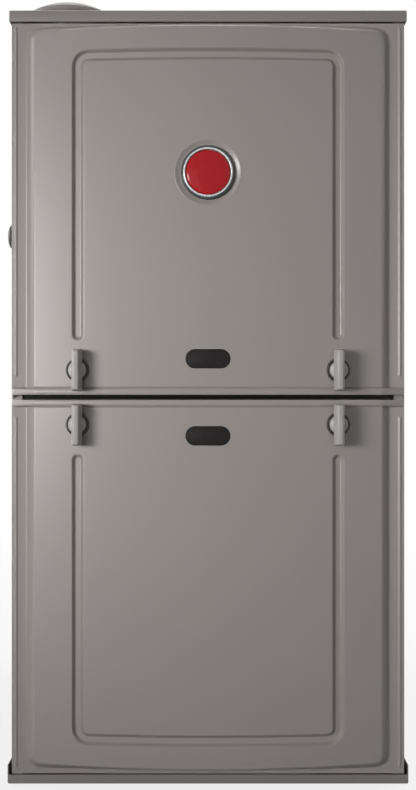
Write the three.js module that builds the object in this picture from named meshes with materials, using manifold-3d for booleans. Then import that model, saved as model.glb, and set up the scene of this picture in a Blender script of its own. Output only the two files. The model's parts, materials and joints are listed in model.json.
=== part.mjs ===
// Upflow forced air gas furnace, 17.5 in wide: cabinet, two doors, burners, heat exchanger, inducer and blower.
// Millimetres, +Z up, front of the furnace towards -Y, origin at the centre of the footprint on the floor.

import * as THREE from 'three';
import { mergeVertices } from 'three/addons/utils/BufferGeometryUtils.js';
import Module from 'manifold-3d';

const wasm = await Module();
wasm.setup();

// ---------------------------------------------------------------------------------------------------------------
// Driving dimensions
// ---------------------------------------------------------------------------------------------------------------

const SHEET = 1.2;                  // sheet steel thickness
const GAP = 0.3;                    // clearance between pieces that touch

const CABINET_HEIGHT = 863.6;       // 34 in, floor to top of cap
const BODY_HALF = 220.5;            // half width over the side panels
const CAP_HALF = 222.25;            // half of 17.5 in, over the cap's side flanges
const BASE_HALF = 223.9;            // half width over the base pan
const OVERALL_DEPTH = 745;          // back of the pan to the front of the latch handles
const BACK_Y = OVERALL_DEPTH / 2;
const HANDLE_PROUD = 42.5;          // latch handle front, ahead of the door rim
const RIM_Y = -BACK_Y + HANDLE_PROUD;          // plane of the door rims
const DOOR_RETURN = 8.5;            // door rim ahead of the cabinet's front flanges
const FLANGE_Y = RIM_Y + DOOR_RETURN;

const CAP_STRIP = 13.3;             // height of the cap's front strip
const PAN_STRIP = 10.3;             // height of the pan's front strip
const PAN_SIDE = 22;                // height of the pan's side flanges

const DOOR_HALF = 218.9;
const UPPER_DOOR = { bottom: 434.2, top: 848.6 };
const LOWER_DOOR = { bottom: 11.8, top: 428.7 };
const PANEL_TOE = 203.3;            // raised panel: foot of its side slope
const PANEL_CREST = 191.9;          // and the top of that slope
const BOW_HALF = 194.3;             // half width over which the panel bows forward
const PANEL_RAISE = 10;
const PANEL_BOW = 17;               // extra height at the middle of the bowed panel
const END_ARCH = 2.7;               // how much further the closed end's crest reaches at the middle
const END_SLOPE = 9;
const STRIP_HEIGHT = 7;             // rolled strip along the door joint
const STRIP_PROUD = 1;
const CHANNEL_X = 143.7;            // centreline of the pressed channel's legs
const CHANNEL_STOP = 66.5;          // its leg ends, from the door's joint edge
const CHANNEL_CORNER = 12;          // centreline radius at its corners
const CHANNEL_FLOOR = 2.5;          // half width of its floor
const CHANNEL_HALF = 7;             // half width at the surface
const CHANNEL_DEPTH = 4.5;
const BEAD_X = 214.1;
const BEAD_HALF = 2.5;
const BEAD_HIGH = 1.3;

const LATCH_X = 143.8;
const LATCH_FROM_JOINT = 27.25;     // latch axis, from the door's joint edge
const LATCH_HOLE = 13.15;
const LATCH_BUSH = { outer: 12.85, bore: 10.4, flange: 15.5, front: -20.1, shoulder: -13.9, back: -12 };
const HANDLE = { length: 46.2, root: 12.3, front: 6, back: -26.5 };   // wedge, narrow in front
const LATCH_HUB = { radius: 10, front: -27.5, back: -10 };
const LATCH_CAM = { reach: 26, half: 5, thick: 2.5, shaft: 4.5 };
const WINDOW_FROM_JOINT = 39.5;
const WINDOW = { width: 49.5, height: 21.4, flange: 3.25 };
const BADGE_FROM_JOINT = 243.9;
const BADGE_DISH = { radius: 35.35, outer: 36.6, floor: 1, thick: 2.2 };
const BADGE_BACK = 25.3;            // back of the bezel and the disc, ahead of the rim

const RAIL = { half: 205.4, bottom: 416, top: 447 };
const DECK_Z = 430.8;               // underside of the blower deck
const VESTIBULE_Y = -185.7;         // front of the vestibule panel

const PITCH = 76;                   // burner and heat tube spacing, 3 in
const BURNER_XS = [-1.5, -0.5, 0.5, 1.5].map((step) => step * PITCH);
const PASSES = [540, 612, 668, 716];           // heights of a heat tube's four straight passes
const TUBE_RADIUS = 21;

const FLUE = { x: -162, y: -255, radius: 42 };
const INDUCER = { x: -112, z: 690, inner: 60, outer: 92 };
const BLOWER = { y: 60, z: 215, inner: 144, outer: 198, half: 127, wheel: 127 };

const COLOURS = {
  paint: ['#96918c', 0.45, 0.35],
  latch: ['#a9a6a3', 0.45, 0.1],
  galvanised: ['#aeb2b4', 0.4, 0.9],
  aluminised: ['#9a9a96', 0.5, 0.85],
  black: ['#1c1c1d', 0.5, 0],
  foam: ['#141414', 0.95, 0],
  smoked: ['#1a1919', 0.1, 0],
  red: ['#b0161c', 0.15, 0],
  chrome: ['#c8cccf', 0.12, 1],
  casting: ['#b9bbbb', 0.5, 0.8],
  board: ['#1f6b3f', 0.45, 0],
  iron: ['#2b2c2e', 0.6, 0.6],
  ceramic: ['#e8e4da', 0.7, 0],
};

// ---------------------------------------------------------------------------------------------------------------
// Solids
// ---------------------------------------------------------------------------------------------------------------

const X = new THREE.Vector3(1, 0, 0);
const Y = new THREE.Vector3(0, 1, 0);
const Z = new THREE.Vector3(0, 0, 1);

// An outline is drawn in (y, z) for axis x, in (x, z) for axis y and in (x, y) for axis z.
const DRAWN_ALONG = {
  x: new THREE.Matrix4().makeBasis(Y, Z, X),
  y: new THREE.Matrix4().makeBasis(X, Z, Y.clone().negate()),
  z: new THREE.Matrix4(),
};

function signedVolume(points, faces) {
  const a = new THREE.Vector3();
  const b = new THREE.Vector3();
  const c = new THREE.Vector3();
  let sum = 0;
  for (let i = 0; i < faces.length; i += 3) {
    a.fromArray(points, faces[i] * 3);
    b.fromArray(points, faces[i + 1] * 3);
    c.fromArray(points, faces[i + 2] * 3);
    sum += a.dot(b.cross(c)) / 6;
  }
  return sum;
}

function solid(geometry) {
  const bare = geometry.clone();
  bare.deleteAttribute('normal');
  bare.deleteAttribute('uv');
  const merged = mergeVertices(bare, 1e-4);
  const points = merged.attributes.position.array;
  const faces = [];
  for (let i = 0; i < merged.index.count; i += 3) {
    const [a, b, c] = [0, 1, 2].map((corner) => merged.index.getX(i + corner));
    if (a !== b && b !== c && c !== a) faces.push(a, b, c);
  }
  if (signedVolume(points, faces) < 0) faces.reverse();
  const mesh = { numProp: 3, vertProperties: new Float32Array(points), triVerts: new Uint32Array(faces) };
  return new wasm.Manifold(new wasm.Mesh(mesh));
}

const join = (first, ...rest) => rest.reduce((whole, piece) => whole.add(piece), first);
const cut = (first, ...rest) => rest.reduce((whole, piece) => whole.subtract(piece), first);

const outline = (pairs) => pairs.map(([u, v]) => new THREE.Vector2(u, v));

function circle(u, v, radius, sides = 16) {
  const corner = (i) => (i + 0.5) * 2 * Math.PI / sides;
  return Array.from({ length: sides }, (_, i) =>
    new THREE.Vector2(u + radius * Math.cos(corner(i)), v + radius * Math.sin(corner(i))));
}

// Corner radius of a many-sided hole whose flats clear a round piece.
const clearing = (radius, sides = 16) => (radius + GAP) / Math.cos(Math.PI / sides);

function rounded(u, v, width, height, radius, steps = 3) {
  const points = [];
  for (let quarter = 0; quarter < 4; quarter += 1) {
    const su = quarter === 0 || quarter === 3 ? 1 : -1;
    const sv = quarter < 2 ? 1 : -1;
    for (let i = 0; i <= steps; i += 1) {
      const angle = (quarter + i / steps) * Math.PI / 2;
      points.push(new THREE.Vector2(
        u + su * (width / 2 - radius) + radius * Math.cos(angle),
        v + sv * (height / 2 - radius) + radius * Math.sin(angle)));
    }
  }
  return points;
}

function extrude(axis, edge, from, to, holes = []) {
  const shape = new THREE.Shape(edge);
  shape.holes = holes.map((hole) => new THREE.Path(hole));
  const geometry = new THREE.ExtrudeGeometry(shape, { depth: to - from, bevelEnabled: false });
  geometry.applyMatrix4(DRAWN_ALONG[axis]);
  const start = { x: [from, 0, 0], y: [0, to, 0], z: [0, 0, from] }[axis];
  return solid(geometry.translate(...start));
}

function box(x0, x1, y0, y1, z0, z1) {
  const geometry = new THREE.BoxGeometry(x1 - x0, y1 - y0, z1 - z0);
  return solid(geometry.translate((x0 + x1) / 2, (y0 + y1) / 2, (z0 + z1) / 2));
}

function rod(axis, u, v, radius, from, to, sides = 16) {
  return extrude(axis, circle(u, v, radius, sides), from, to);
}

// A piece turned on a lathe: [radius, height] pairs from axis to axis, height running up +Z.
function turned(profile, sides = 20) {
  return solid(new THREE.LatheGeometry(outline(profile), sides).rotateX(Math.PI / 2));
}

const towardsFront = (piece) => piece.rotate([90, 0, 0]);

// A route of straight runs and round bends, with a station only where the direction changes.
class BentRoute extends THREE.Curve {
  constructor(stations) {
    super();
    this.stations = stations;
  }
  getPoint(t) {
    const at = t * (this.stations.length - 1);
    const i = Math.min(Math.floor(at), this.stations.length - 2);
    return this.stations[i].point.clone().lerp(this.stations[i + 1].point, at - i);
  }
  getPointAt(t) {
    return this.getPoint(t);
  }
  getTangentAt(t) {
    return this.stations[Math.round(t * (this.stations.length - 1))].heading.clone();
  }
}

// Right-angled corners of a route become arcs of the given radius, or less where the runs are short.
function bentRoute(corners, bend, steps) {
  const points = corners.map((corner) => new THREE.Vector3(...corner));
  const heading = (i) => points[i + 1].clone().sub(points[i]).normalize();
  const stations = [{ point: points[0], heading: heading(0) }];
  for (let i = 1; i < points.length - 1; i += 1) {
    const before = heading(i - 1);
    const after = heading(i);
    const turn = before.angleTo(after);
    const room = Math.min(points[i].distanceTo(points[i - 1]), points[i].distanceTo(points[i + 1])) / 2;
    const radius = Math.min(bend, room);
    const reach = radius * Math.tan(turn / 2);
    const start = points[i].clone().addScaledVector(before, -reach);
    const side = after.clone().addScaledVector(before, -after.dot(before)).normalize();
    for (let k = 0; k <= steps; k += 1) {
      const angle = turn * k / steps;
      const point = start.clone()
        .addScaledVector(before, radius * Math.sin(angle))
        .addScaledVector(side, radius * (1 - Math.cos(angle)));
      const along = before.clone().multiplyScalar(Math.cos(angle)).addScaledVector(side, Math.sin(angle));
      const last = stations[stations.length - 1].point;
      if (last.distanceTo(point) > 0.01) stations.push({ point, heading: along });
    }
  }
  const end = points.length - 1;
  stations.push({ point: points[end], heading: heading(end - 1) });
  return new BentRoute(stations);
}

function tube(route, radius, bore, sides, boreSides) {
  const shape = new THREE.Shape(circle(0, 0, radius, sides));
  if (bore) shape.holes = [new THREE.Path(circle(0, 0, bore, boreSides))];
  return solid(new THREE.ExtrudeGeometry(shape, {
    steps: route.stations.length - 1, extrudePath: route, bevelEnabled: false,
  }));
}

function piece(name, finish, shape, position = [0, 0, 0]) {
  const { numProp, vertProperties, triVerts } = shape.getMesh();
  const geometry = new THREE.BufferGeometry();
  geometry.setAttribute('position', new THREE.BufferAttribute(new Float32Array(vertProperties), numProp));
  geometry.setIndex(new THREE.BufferAttribute(new Uint32Array(triVerts), 1));
  geometry.computeVertexNormals();
  const [color, roughness, metalness] = COLOURS[finish];
  const mesh = new THREE.Mesh(geometry, new THREE.MeshStandardMaterial({ color, roughness, metalness }));
  mesh.name = name;
  mesh.position.set(...position);
  return mesh;
}

function group(position, ...children) {
  const holder = new THREE.Group();
  holder.position.set(...position);
  holder.add(...children);
  return holder;
}

// ---------------------------------------------------------------------------------------------------------------
// Cabinet
// ---------------------------------------------------------------------------------------------------------------

const PANEL_BACK = BACK_Y - SHEET - GAP;
const UNDER_CAP = CABINET_HEIGHT - SHEET - GAP;
const ON_PAN = SHEET + GAP;
const INSIDE_HALF = BODY_HALF - SHEET - GAP;
const SUPPLY = { half: 195, front: -140, back: 345, height: 22, foot: 15 };
const RETURN_AIR = { half: 165, front: -225, back: 295 };
const PLUG = { z: 613, hole: 11, leftY: RIM_Y + 24, rightY: RIM_Y + 60 };
const RETURN_GUIDE = { front: -245, back: 320, bottom: 40, top: 396, line: 2, deep: 0.4 };

// Scored line round the place on a side where a return duct is cut in.
function returnGuide(side) {
  const { front, back, bottom, top, line, deep } = RETURN_GUIDE;
  const face = side * BODY_HALF;
  const plate = (shrink, reach) => box(
    face - reach, face + reach, front + shrink, back - shrink, bottom + shrink, top - shrink);
  return cut(plate(0, deep), plate(line, deep + 1));
}

const SIDE_FLANGES = { front: 12, back: 20.5 };

// C-section side: web with a front and a back flange turned inwards. side is -1 for left, 1 for right.
function sidePanel(side, plugY) {
  const outer = side * BODY_HALF;
  const inner = side * (BODY_HALF - SHEET);
  const frontEnd = side * (BODY_HALF - SIDE_FLANGES.front);
  const backEnd = side * (BODY_HALF - SIDE_FLANGES.back);
  const section = outline([
    [frontEnd, FLANGE_Y], [outer, FLANGE_Y], [outer, PANEL_BACK], [backEnd, PANEL_BACK],
    [backEnd, PANEL_BACK - SHEET], [inner, PANEL_BACK - SHEET], [inner, FLANGE_Y + SHEET],
    [frontEnd, FLANGE_Y + SHEET],
  ]);
  const hole = rod('x', plugY, PLUG.z, PLUG.hole, Math.min(outer, inner) - 1, Math.max(outer, inner) + 1);
  return cut(extrude('z', section, ON_PAN, UNDER_CAP), hole, returnGuide(side));
}

function holePlug() {
  return turned([
    [0, -3.5], [11.5, -3.5], [12.4, -1.5], [10.7, -1.5], [10.7, GAP], [14, GAP],
    [14, 1.6], [11.5, 4], [0, 5.5],
  ], 14);
}

function topCap() {
  const bottom = CABINET_HEIGHT - CAP_STRIP;
  const shell = cut(
    box(-CAP_HALF, CAP_HALF, RIM_Y, BACK_Y, bottom, CABINET_HEIGHT),
    box(-CAP_HALF + SHEET, CAP_HALF - SHEET, RIM_Y + SHEET, BACK_Y - SHEET, bottom - 1, CABINET_HEIGHT - SHEET),
  );
  const supply = box(-SUPPLY.half, SUPPLY.half, SUPPLY.front, SUPPLY.back, bottom, CABINET_HEIGHT + 1);
  const vent = rod('z', FLUE.x, FLUE.y, clearing(FLUE.radius, 20), bottom, CABINET_HEIGHT + 1, 20);
  return cut(shell, supply, vent);
}

function supplyCollar() {
  const base = CABINET_HEIGHT + GAP;
  const frame = (grow) => [-SUPPLY.half - grow, SUPPLY.half + grow, SUPPLY.front - grow, SUPPLY.back + grow];
  const foot = box(...frame(SUPPLY.foot), base, base + SHEET);
  const wall = box(...frame(SHEET), base, CABINET_HEIGHT + SUPPLY.height);
  return cut(join(foot, wall), box(...frame(0), base - 1, CABINET_HEIGHT + SUPPLY.height + 1));
}

function basePan() {
  const tray = cut(
    box(-BASE_HALF, BASE_HALF, RIM_Y, BACK_Y, 0, PAN_SIDE),
    box(-BASE_HALF + SHEET, BASE_HALF - SHEET, RIM_Y + SHEET, BACK_Y - SHEET, SHEET, PAN_SIDE + 1),
    box(-BASE_HALF + SHEET, BASE_HALF - SHEET, RIM_Y - 1, RIM_Y + 2 * SHEET, PAN_STRIP, PAN_SIDE + 1),
  );
  return cut(tray, box(-RETURN_AIR.half, RETURN_AIR.half, RETURN_AIR.front, RETURN_AIR.back, -1, SHEET + 1));
}

function midRail() {
  const front = FLANGE_Y + GAP;
  return join(
    box(-RAIL.half, RAIL.half, front, front + SHEET, RAIL.bottom, RAIL.top),
    box(-RAIL.half, RAIL.half, front, DECK_FRONT - GAP, DECK_Z, DECK_Z + SHEET),
  );
}

const DECK_FRONT = -300;
const SCROLL_CUTOFF = 110;          // angle of the blower scroll's cut-off, from +Y towards +Z
const DECK_BACK = PANEL_BACK - 3;

function blowerDeck() {
  const throatFront = BLOWER.y + BLOWER.inner * Math.cos(SCROLL_CUTOFF * Math.PI / 180);
  const throatBack = BLOWER.y + BLOWER.outer;
  const deck = box(-INSIDE_HALF, INSIDE_HALF, DECK_FRONT, DECK_BACK, DECK_Z, DECK_Z + SHEET);
  return cut(deck, box(-BLOWER.half, BLOWER.half, throatFront, throatBack, DECK_Z - 1, DECK_Z + 3));
}

function vestibulePanel() {
  const holes = BURNER_XS.flatMap((x) => [PASSES[0], PASSES[3]].map((z) => circle(x, z, clearing(TUBE_RADIUS))));
  const edge = outline([
    [-INSIDE_HALF, DECK_Z + SHEET + GAP], [INSIDE_HALF, DECK_Z + SHEET + GAP],
    [INSIDE_HALF, UNDER_CAP], [-INSIDE_HALF, UNDER_CAP],
  ]);
  return extrude('y', edge, VESTIBULE_Y, VESTIBULE_Y + SHEET, holes);
}

const cabinet = group([0, 0, 0],
  piece('left_side_panel', 'paint', sidePanel(-1, PLUG.leftY)),
  piece('right_side_panel', 'paint', sidePanel(1, PLUG.rightY)),
  piece('left_hole_plug', 'black', holePlug().rotate([0, -90, 0]), [-BODY_HALF, PLUG.leftY, PLUG.z]),
  piece('right_hole_plug', 'black', holePlug().rotate([0, 90, 0]), [BODY_HALF, PLUG.rightY, PLUG.z]),
  piece('back_panel', 'paint', box(-INSIDE_HALF, INSIDE_HALF, PANEL_BACK - 2 * SHEET - GAP,
    PANEL_BACK - SHEET - GAP, ON_PAN, UNDER_CAP)),
  piece('top_cap', 'paint', topCap()),
  piece('supply_collar', 'galvanised', supplyCollar()),
  piece('base_pan', 'paint', basePan()),
  piece('mid_rail', 'galvanised', midRail()),
  piece('door_seal_strip', 'foam', box(-204, 204, FLANGE_Y - 2.2, FLANGE_Y, RAIL.bottom + 6, RAIL.top - 6)),
  piece('blower_deck', 'galvanised', blowerDeck()),
  piece('vestibule_panel', 'aluminised', vestibulePanel()),
);

// ---------------------------------------------------------------------------------------------------------------
// Doors. x from the centreline, v from the door's joint edge to its far edge, heights ahead of the rim plane.
// ---------------------------------------------------------------------------------------------------------------

const clamp01 = (value) => Math.min(Math.max(value, 0), 1);
const bow = (x) => PANEL_BOW * (1 - Math.min(Math.abs(x) / BOW_HALF, 1) ** 2);

function stripHeight(x) {
  const shoulder = clamp01((DOOR_HALF - Math.abs(x)) / (DOOR_HALF - PANEL_CREST));
  return shoulder * (PANEL_RAISE + STRIP_PROUD) + bow(x);
}

function channelDistance(x, v, door) {
  const along = Math.abs(x);
  const endRun = door.height - door.channel;
  if (v < CHANNEL_STOP) return Math.hypot(along - CHANNEL_X, v - CHANNEL_STOP);
  const cx = CHANNEL_X - CHANNEL_CORNER;
  const cv = endRun - CHANNEL_CORNER;
  if (along > cx && v > cv) return Math.abs(Math.hypot(along - cx, v - cv) - CHANNEL_CORNER);
  return Math.min(Math.abs(along - CHANNEL_X), Math.abs(v - endRun));
}

function doorHeight(x, v, door) {
  const ax = Math.abs(x);
  if (v <= STRIP_HEIGHT) return stripHeight(x);
  const crest = door.height - door.crest + END_ARCH * (1 - (ax / BOW_HALF) ** 2);
  const ramp = Math.min(
    clamp01((PANEL_TOE - ax) / (PANEL_TOE - PANEL_CREST)),
    clamp01((crest + END_SLOPE - v) / END_SLOPE),
  );
  const wall = CHANNEL_HALF - CHANNEL_FLOOR;
  const channel = clamp01((CHANNEL_HALF - channelDistance(x, v, door)) / wall);
  const inBead = v > door.beadFrom - 0.1 && v < door.height - door.crest + END_SLOPE + 0.1;
  const bead = inBead ? BEAD_HIGH * clamp01(1 - Math.abs(ax - BEAD_X) / BEAD_HALF) : 0;
  return ramp * (PANEL_RAISE + bow(x)) - channel * CHANNEL_DEPTH + bead;
}

// A pressed sheet over a grid of x and v lines; sign is 1 where v runs up and -1 where it runs down.
function pressedSheet(xs, vs, sign, height) {
  const points = [];
  for (const back of [0, SHEET]) {
    for (const v of vs) {
      for (const x of xs) points.push(x, back - height(x, v), sign * v);
    }
  }
  const at = (back, row, column) => (back * vs.length + row) * xs.length + column;
  const faces = [];
  const quad = (a, b, c, d) => faces.push(a, b, c, a, c, d);
  for (let r = 0; r < vs.length - 1; r += 1) {
    for (let c = 0; c < xs.length - 1; c += 1) {
      quad(at(0, r, c), at(0, r, c + 1), at(0, r + 1, c + 1), at(0, r + 1, c));
      quad(at(1, r, c), at(1, r + 1, c), at(1, r + 1, c + 1), at(1, r, c + 1));
    }
  }
  const lastRow = vs.length - 1;
  const lastColumn = xs.length - 1;
  for (let c = 0; c < lastColumn; c += 1) {
    quad(at(0, 0, c), at(1, 0, c), at(1, 0, c + 1), at(0, 0, c + 1));
    quad(at(0, lastRow, c), at(0, lastRow, c + 1), at(1, lastRow, c + 1), at(1, lastRow, c));
  }
  for (let r = 0; r < lastRow; r += 1) {
    quad(at(0, r, 0), at(0, r + 1, 0), at(1, r + 1, 0), at(1, r, 0));
    quad(at(0, r, lastColumn), at(1, r, lastColumn), at(1, r + 1, lastColumn), at(0, r + 1, lastColumn));
  }
  const geometry = new THREE.BufferGeometry();
  geometry.setAttribute('position', new THREE.Float32BufferAttribute(points, 3));
  geometry.setIndex(faces);
  return solid(geometry);
}

const BOW_LINES = [170, 100, 50];
const HALF_LINES = [
  DOOR_HALF, BEAD_X + BEAD_HALF, BEAD_X, BEAD_X - BEAD_HALF, PANEL_TOE, PANEL_CREST,
  CHANNEL_X + CHANNEL_HALF, CHANNEL_X + CHANNEL_FLOOR, CHANNEL_X - CHANNEL_FLOOR, CHANNEL_X - CHANNEL_HALF,
  ...BOW_LINES,
].sort((a, b) => b - a);
const X_LINES = [...HALF_LINES.map((x) => -x), 0, ...[...HALF_LINES].reverse()];

function rowLines(door) {
  const endRun = door.height - door.channel;
  const crest = door.height - door.crest;
  return [
    0, STRIP_HEIGHT, STRIP_HEIGHT + 1, door.beadFrom,
    CHANNEL_STOP - CHANNEL_HALF, CHANNEL_STOP,
    endRun - CHANNEL_HALF, endRun - CHANNEL_FLOOR, endRun + CHANNEL_FLOOR, endRun + CHANNEL_HALF,
    crest, crest + END_SLOPE, door.height,
  ].sort((a, b) => a - b);
}

function obround(v, width, height) {
  return rounded(0, v, width, height, height / 2 - 0.01, 4);
}

const THROUGH = [-HANDLE_PROUD, 0];             // depth of a cut right through the pressed panel
const EDGE_RETURN = DOOR_RETURN - 0.5;          // how far back the folded edges reach
const JOINT_RETURN = 5.8;                       // and the one along the joint

// Door skin with its returns, latch holes and window; v runs along sign * z from the joint edge at z = 0.
function doorSkin(door) {
  const { sign, height } = door;
  const rows = (from, to) => (sign > 0 ? [from, to] : [-to, -from]);
  const mid = SHEET / 2;
  const skin = pressedSheet(X_LINES, rowLines(door), sign, (x, v) => doorHeight(x, v, door));
  const fold = X_LINES.map((x) => [x, mid - stripHeight(x)]);
  const jointEdge = outline([...fold, [DOOR_HALF, JOINT_RETURN], [-DOOR_HALF, JOINT_RETURN]]);
  const window = obround(sign * WINDOW_FROM_JOINT, WINDOW.width, WINDOW.height);
  const holes = [-LATCH_X, LATCH_X].map((x) => rod('y', x, sign * LATCH_FROM_JOINT, LATCH_HOLE, ...THROUGH));
  return cut(join(
    skin,
    extrude('z', jointEdge, ...rows(0, SHEET)),
    box(-DOOR_HALF, -DOOR_HALF + SHEET, mid, EDGE_RETURN, ...rows(0, height)),
    box(DOOR_HALF - SHEET, DOOR_HALF, mid, EDGE_RETURN, ...rows(0, height)),
    box(-DOOR_HALF, DOOR_HALF, mid, EDGE_RETURN, ...rows(height - SHEET, height)),
  ), ...holes, extrude('y', window, ...THROUGH));
}

const CROWN = PANEL_RAISE + PANEL_BOW;

function badgeDish(skin) {
  const { radius, outer, floor, thick } = BADGE_DISH;
  const start = -CROWN + floor;
  const backing = rod('y', 0, BADGE_FROM_JOINT, outer, start, start + thick, 24);
  return cut(join(skin, backing), rod('y', 0, BADGE_FROM_JOINT, radius, -HANDLE_PROUD, start + floor, 24));
}

// Tab behind the lower door that pushes the interlock plunger in.
function interlockTab(skin) {
  const reach = INTERLOCK.tip - GAP - RIM_Y;
  const below = INTERLOCK.z - LOWER_DOOR.top;
  return join(skin, box(INTERLOCK.x - 6, INTERLOCK.x + 6, -CROWN + 3, reach, below - 5, below + 5));
}

function badgeBezel() {
  return towardsFront(turned([
    [25.2, BADGE_BACK], [29.75, BADGE_BACK], [29.75, 28.3], [28, 29.5], [25.2, 28.4], [25.2, BADGE_BACK],
  ], 24));
}

function badgeDisc() {
  return towardsFront(turned([[0, BADGE_BACK], [24.6, BADGE_BACK], [24.6, 27.6], [16, 29.3], [0, 30]], 24));
}

// Pane that comes forward into the sight window, with a wider flange behind it.
function sightGlass(v) {
  const back = -CROWN + 3.9;
  const pane = obround(v, WINDOW.width - 2 * GAP, WINDOW.height - 2 * GAP);
  const flange = obround(v, WINDOW.width + 2 * WINDOW.flange, WINDOW.height + 2 * WINDOW.flange);
  return join(extrude('y', pane, -CROWN + 0.8, back), extrude('y', flange, back - 2, back));
}

// Latch pieces sit on the latch axis, with y = 0 in the rim plane. turn is the way the cam points at rest.
function latchBush() {
  const { outer, bore, flange, front, shoulder, back } = LATCH_BUSH;
  return cut(
    join(rod('y', 0, 0, outer, front, back), rod('y', 0, 0, flange, shoulder, back)),
    rod('y', 0, 0, bore, ...THROUGH),
  );
}

function latchHandle(turn) {
  const { reach, half, thick, shaft } = LATCH_CAM;
  const camFront = DOOR_RETURN + 2 * GAP + SHEET + 0.4;
  const arm = turn > 0 ? [-half, reach] : [-reach, half];
  const wedge = outline([
    [-HANDLE.root / 2, HANDLE.back], [HANDLE.root / 2, HANDLE.back],
    [HANDLE.front / 2, -HANDLE_PROUD], [-HANDLE.front / 2, -HANDLE_PROUD],
  ]);
  return join(
    extrude('z', wedge, -HANDLE.length / 2, HANDLE.length / 2),
    rod('y', 0, 0, LATCH_HUB.radius, LATCH_HUB.front, LATCH_HUB.back),
    rod('y', 0, 0, shaft, LATCH_HUB.back - 1, camFront + thick, 10),
    box(...arm, camFront, camFront + thick, -half, half),
  );
}

function doorPieces(prefix, door) {
  const latchZ = door.sign * LATCH_FROM_JOINT;
  return [['left', -1], ['right', 1]].flatMap(([side, way]) => [
    piece(`${prefix}_${side}_latch_bush`, 'black', latchBush(), [way * LATCH_X, 0, latchZ]),
    piece(`${prefix}_${side}_latch_handle`, 'latch', latchHandle(-way), [way * LATCH_X, 0, latchZ]),
  ]);
}

const INTERLOCK = { x: 60, z: 405, tip: -323 };
const upperDoor = {
  sign: 1, height: UPPER_DOOR.top - UPPER_DOOR.bottom, crest: 12.7, channel: 40.2, beadFrom: 19.8,
};
const lowerDoor = {
  sign: -1, height: LOWER_DOOR.top - LOWER_DOOR.bottom, crest: 15.2, channel: 42.3, beadFrom: 18.2,
};

const upperDoorGroup = group([0, RIM_Y, UPPER_DOOR.bottom],
  piece('upper_door', 'paint', badgeDish(doorSkin(upperDoor))),
  piece('upper_sight_glass', 'smoked', sightGlass(WINDOW_FROM_JOINT)),
  piece('badge_bezel', 'chrome', badgeBezel(), [0, 0, BADGE_FROM_JOINT]),
  piece('badge_disc', 'red', badgeDisc(), [0, 0, BADGE_FROM_JOINT]),
  ...doorPieces('upper', upperDoor),
);

const lowerDoorGroup = group([0, RIM_Y, LOWER_DOOR.top],
  piece('lower_door', 'paint', interlockTab(doorSkin(lowerDoor))),
  piece('lower_sight_glass', 'smoked', sightGlass(-WINDOW_FROM_JOINT)),
  ...doorPieces('lower', lowerDoor),
);

// ---------------------------------------------------------------------------------------------------------------
// Heating section
// ---------------------------------------------------------------------------------------------------------------

const TUBE_BACK = 300;
const TUBE_FRONT = -140;

function heatTube() {
  const [first, second, third, fourth] = PASSES;
  const corners = [
    [VESTIBULE_Y, first], [TUBE_BACK, first], [TUBE_BACK, second], [TUBE_FRONT, second],
    [TUBE_FRONT, third], [TUBE_BACK, third], [TUBE_BACK, fourth], [VESTIBULE_Y, fourth],
  ].map(([y, z]) => [0, y, z]);
  return tube(bentRoute(corners, 40, 2), TUBE_RADIUS, TUBE_RADIUS - SHEET * 1.5, 10, 8);
}

const COLLECTOR = { half: 150, front: -225, back: VESTIBULE_Y - GAP, bottom: 640, top: 748 };

function collectorBox() {
  const { half, front, back, bottom, top } = COLLECTOR;
  return cut(
    box(-half, half, front, back, bottom, top),
    box(-half + SHEET, half - SHEET, front + SHEET, back + 1, bottom + SHEET, top - SHEET),
    rod('y', INDUCER.x, INDUCER.z, 30, front - 1, front + 3),
  );
}

// Points of a spiral scroll from its cut-off angle to its mouth angle, in degrees.
function scroll(inner, outer, from, to, steps, grow = 0) {
  return Array.from({ length: steps + 1 }, (_, i) => {
    const angle = (from + (to - from) * i / steps) * Math.PI / 180;
    const radius = inner + (outer - inner) * i / steps + grow;
    return [radius * Math.cos(angle), radius * Math.sin(angle)];
  });
}

// The inducer's pieces are drawn about its shaft; y is the furnace's own y.
const INDUCER_CUTOFF = 98;
const INDUCER_FRONT = -284;
const INDUCER_BACK = COLLECTOR.front - GAP;
const BOOT = { half: 45, front: FLUE.y - 45, back: FLUE.y + 45, bottom: 62, top: 83 };

function inducerProfile(grow) {
  const spiral = scroll(INDUCER.inner, INDUCER.outer, INDUCER_CUTOFF, -180, 16, grow);
  const mouth = BOOT.bottom + 4;
  return outline([...spiral, [-INDUCER.outer - grow, mouth], [spiral[0][0] + grow, mouth]]);
}

function inducerHousing() {
  const flueX = FLUE.x - INDUCER.x;
  const boot = (shrink) => box(
    flueX - BOOT.half + shrink, flueX + BOOT.half - shrink, BOOT.front + shrink, BOOT.back - shrink,
    BOOT.bottom + shrink, BOOT.top - shrink);
  const throat = box(-INDUCER.outer, -9, INDUCER_FRONT + SHEET, INDUCER_BACK - SHEET,
    BOOT.bottom - 2, BOOT.bottom + 3);
  return cut(
    join(
      extrude('y', inducerProfile(SHEET), INDUCER_FRONT, INDUCER_BACK),
      boot(0),
      rod('x', HOSE.y, 0, 3, INDUCER.inner + 11.6, HOSE.port, 12),
    ),
    extrude('y', inducerProfile(0), INDUCER_FRONT + SHEET, INDUCER_BACK - SHEET),
    boot(SHEET),
    throat,
    rod('z', flueX, FLUE.y, FLUE.radius - SHEET, BOOT.top - 3, BOOT.top + 1),
    rod('y', 0, 0, 30, INDUCER_BACK - 3, INDUCER_BACK + 1),
    rod('y', 0, 0, 6, INDUCER_FRONT - 1, INDUCER_FRONT + 3, 12),
  );
}

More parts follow.
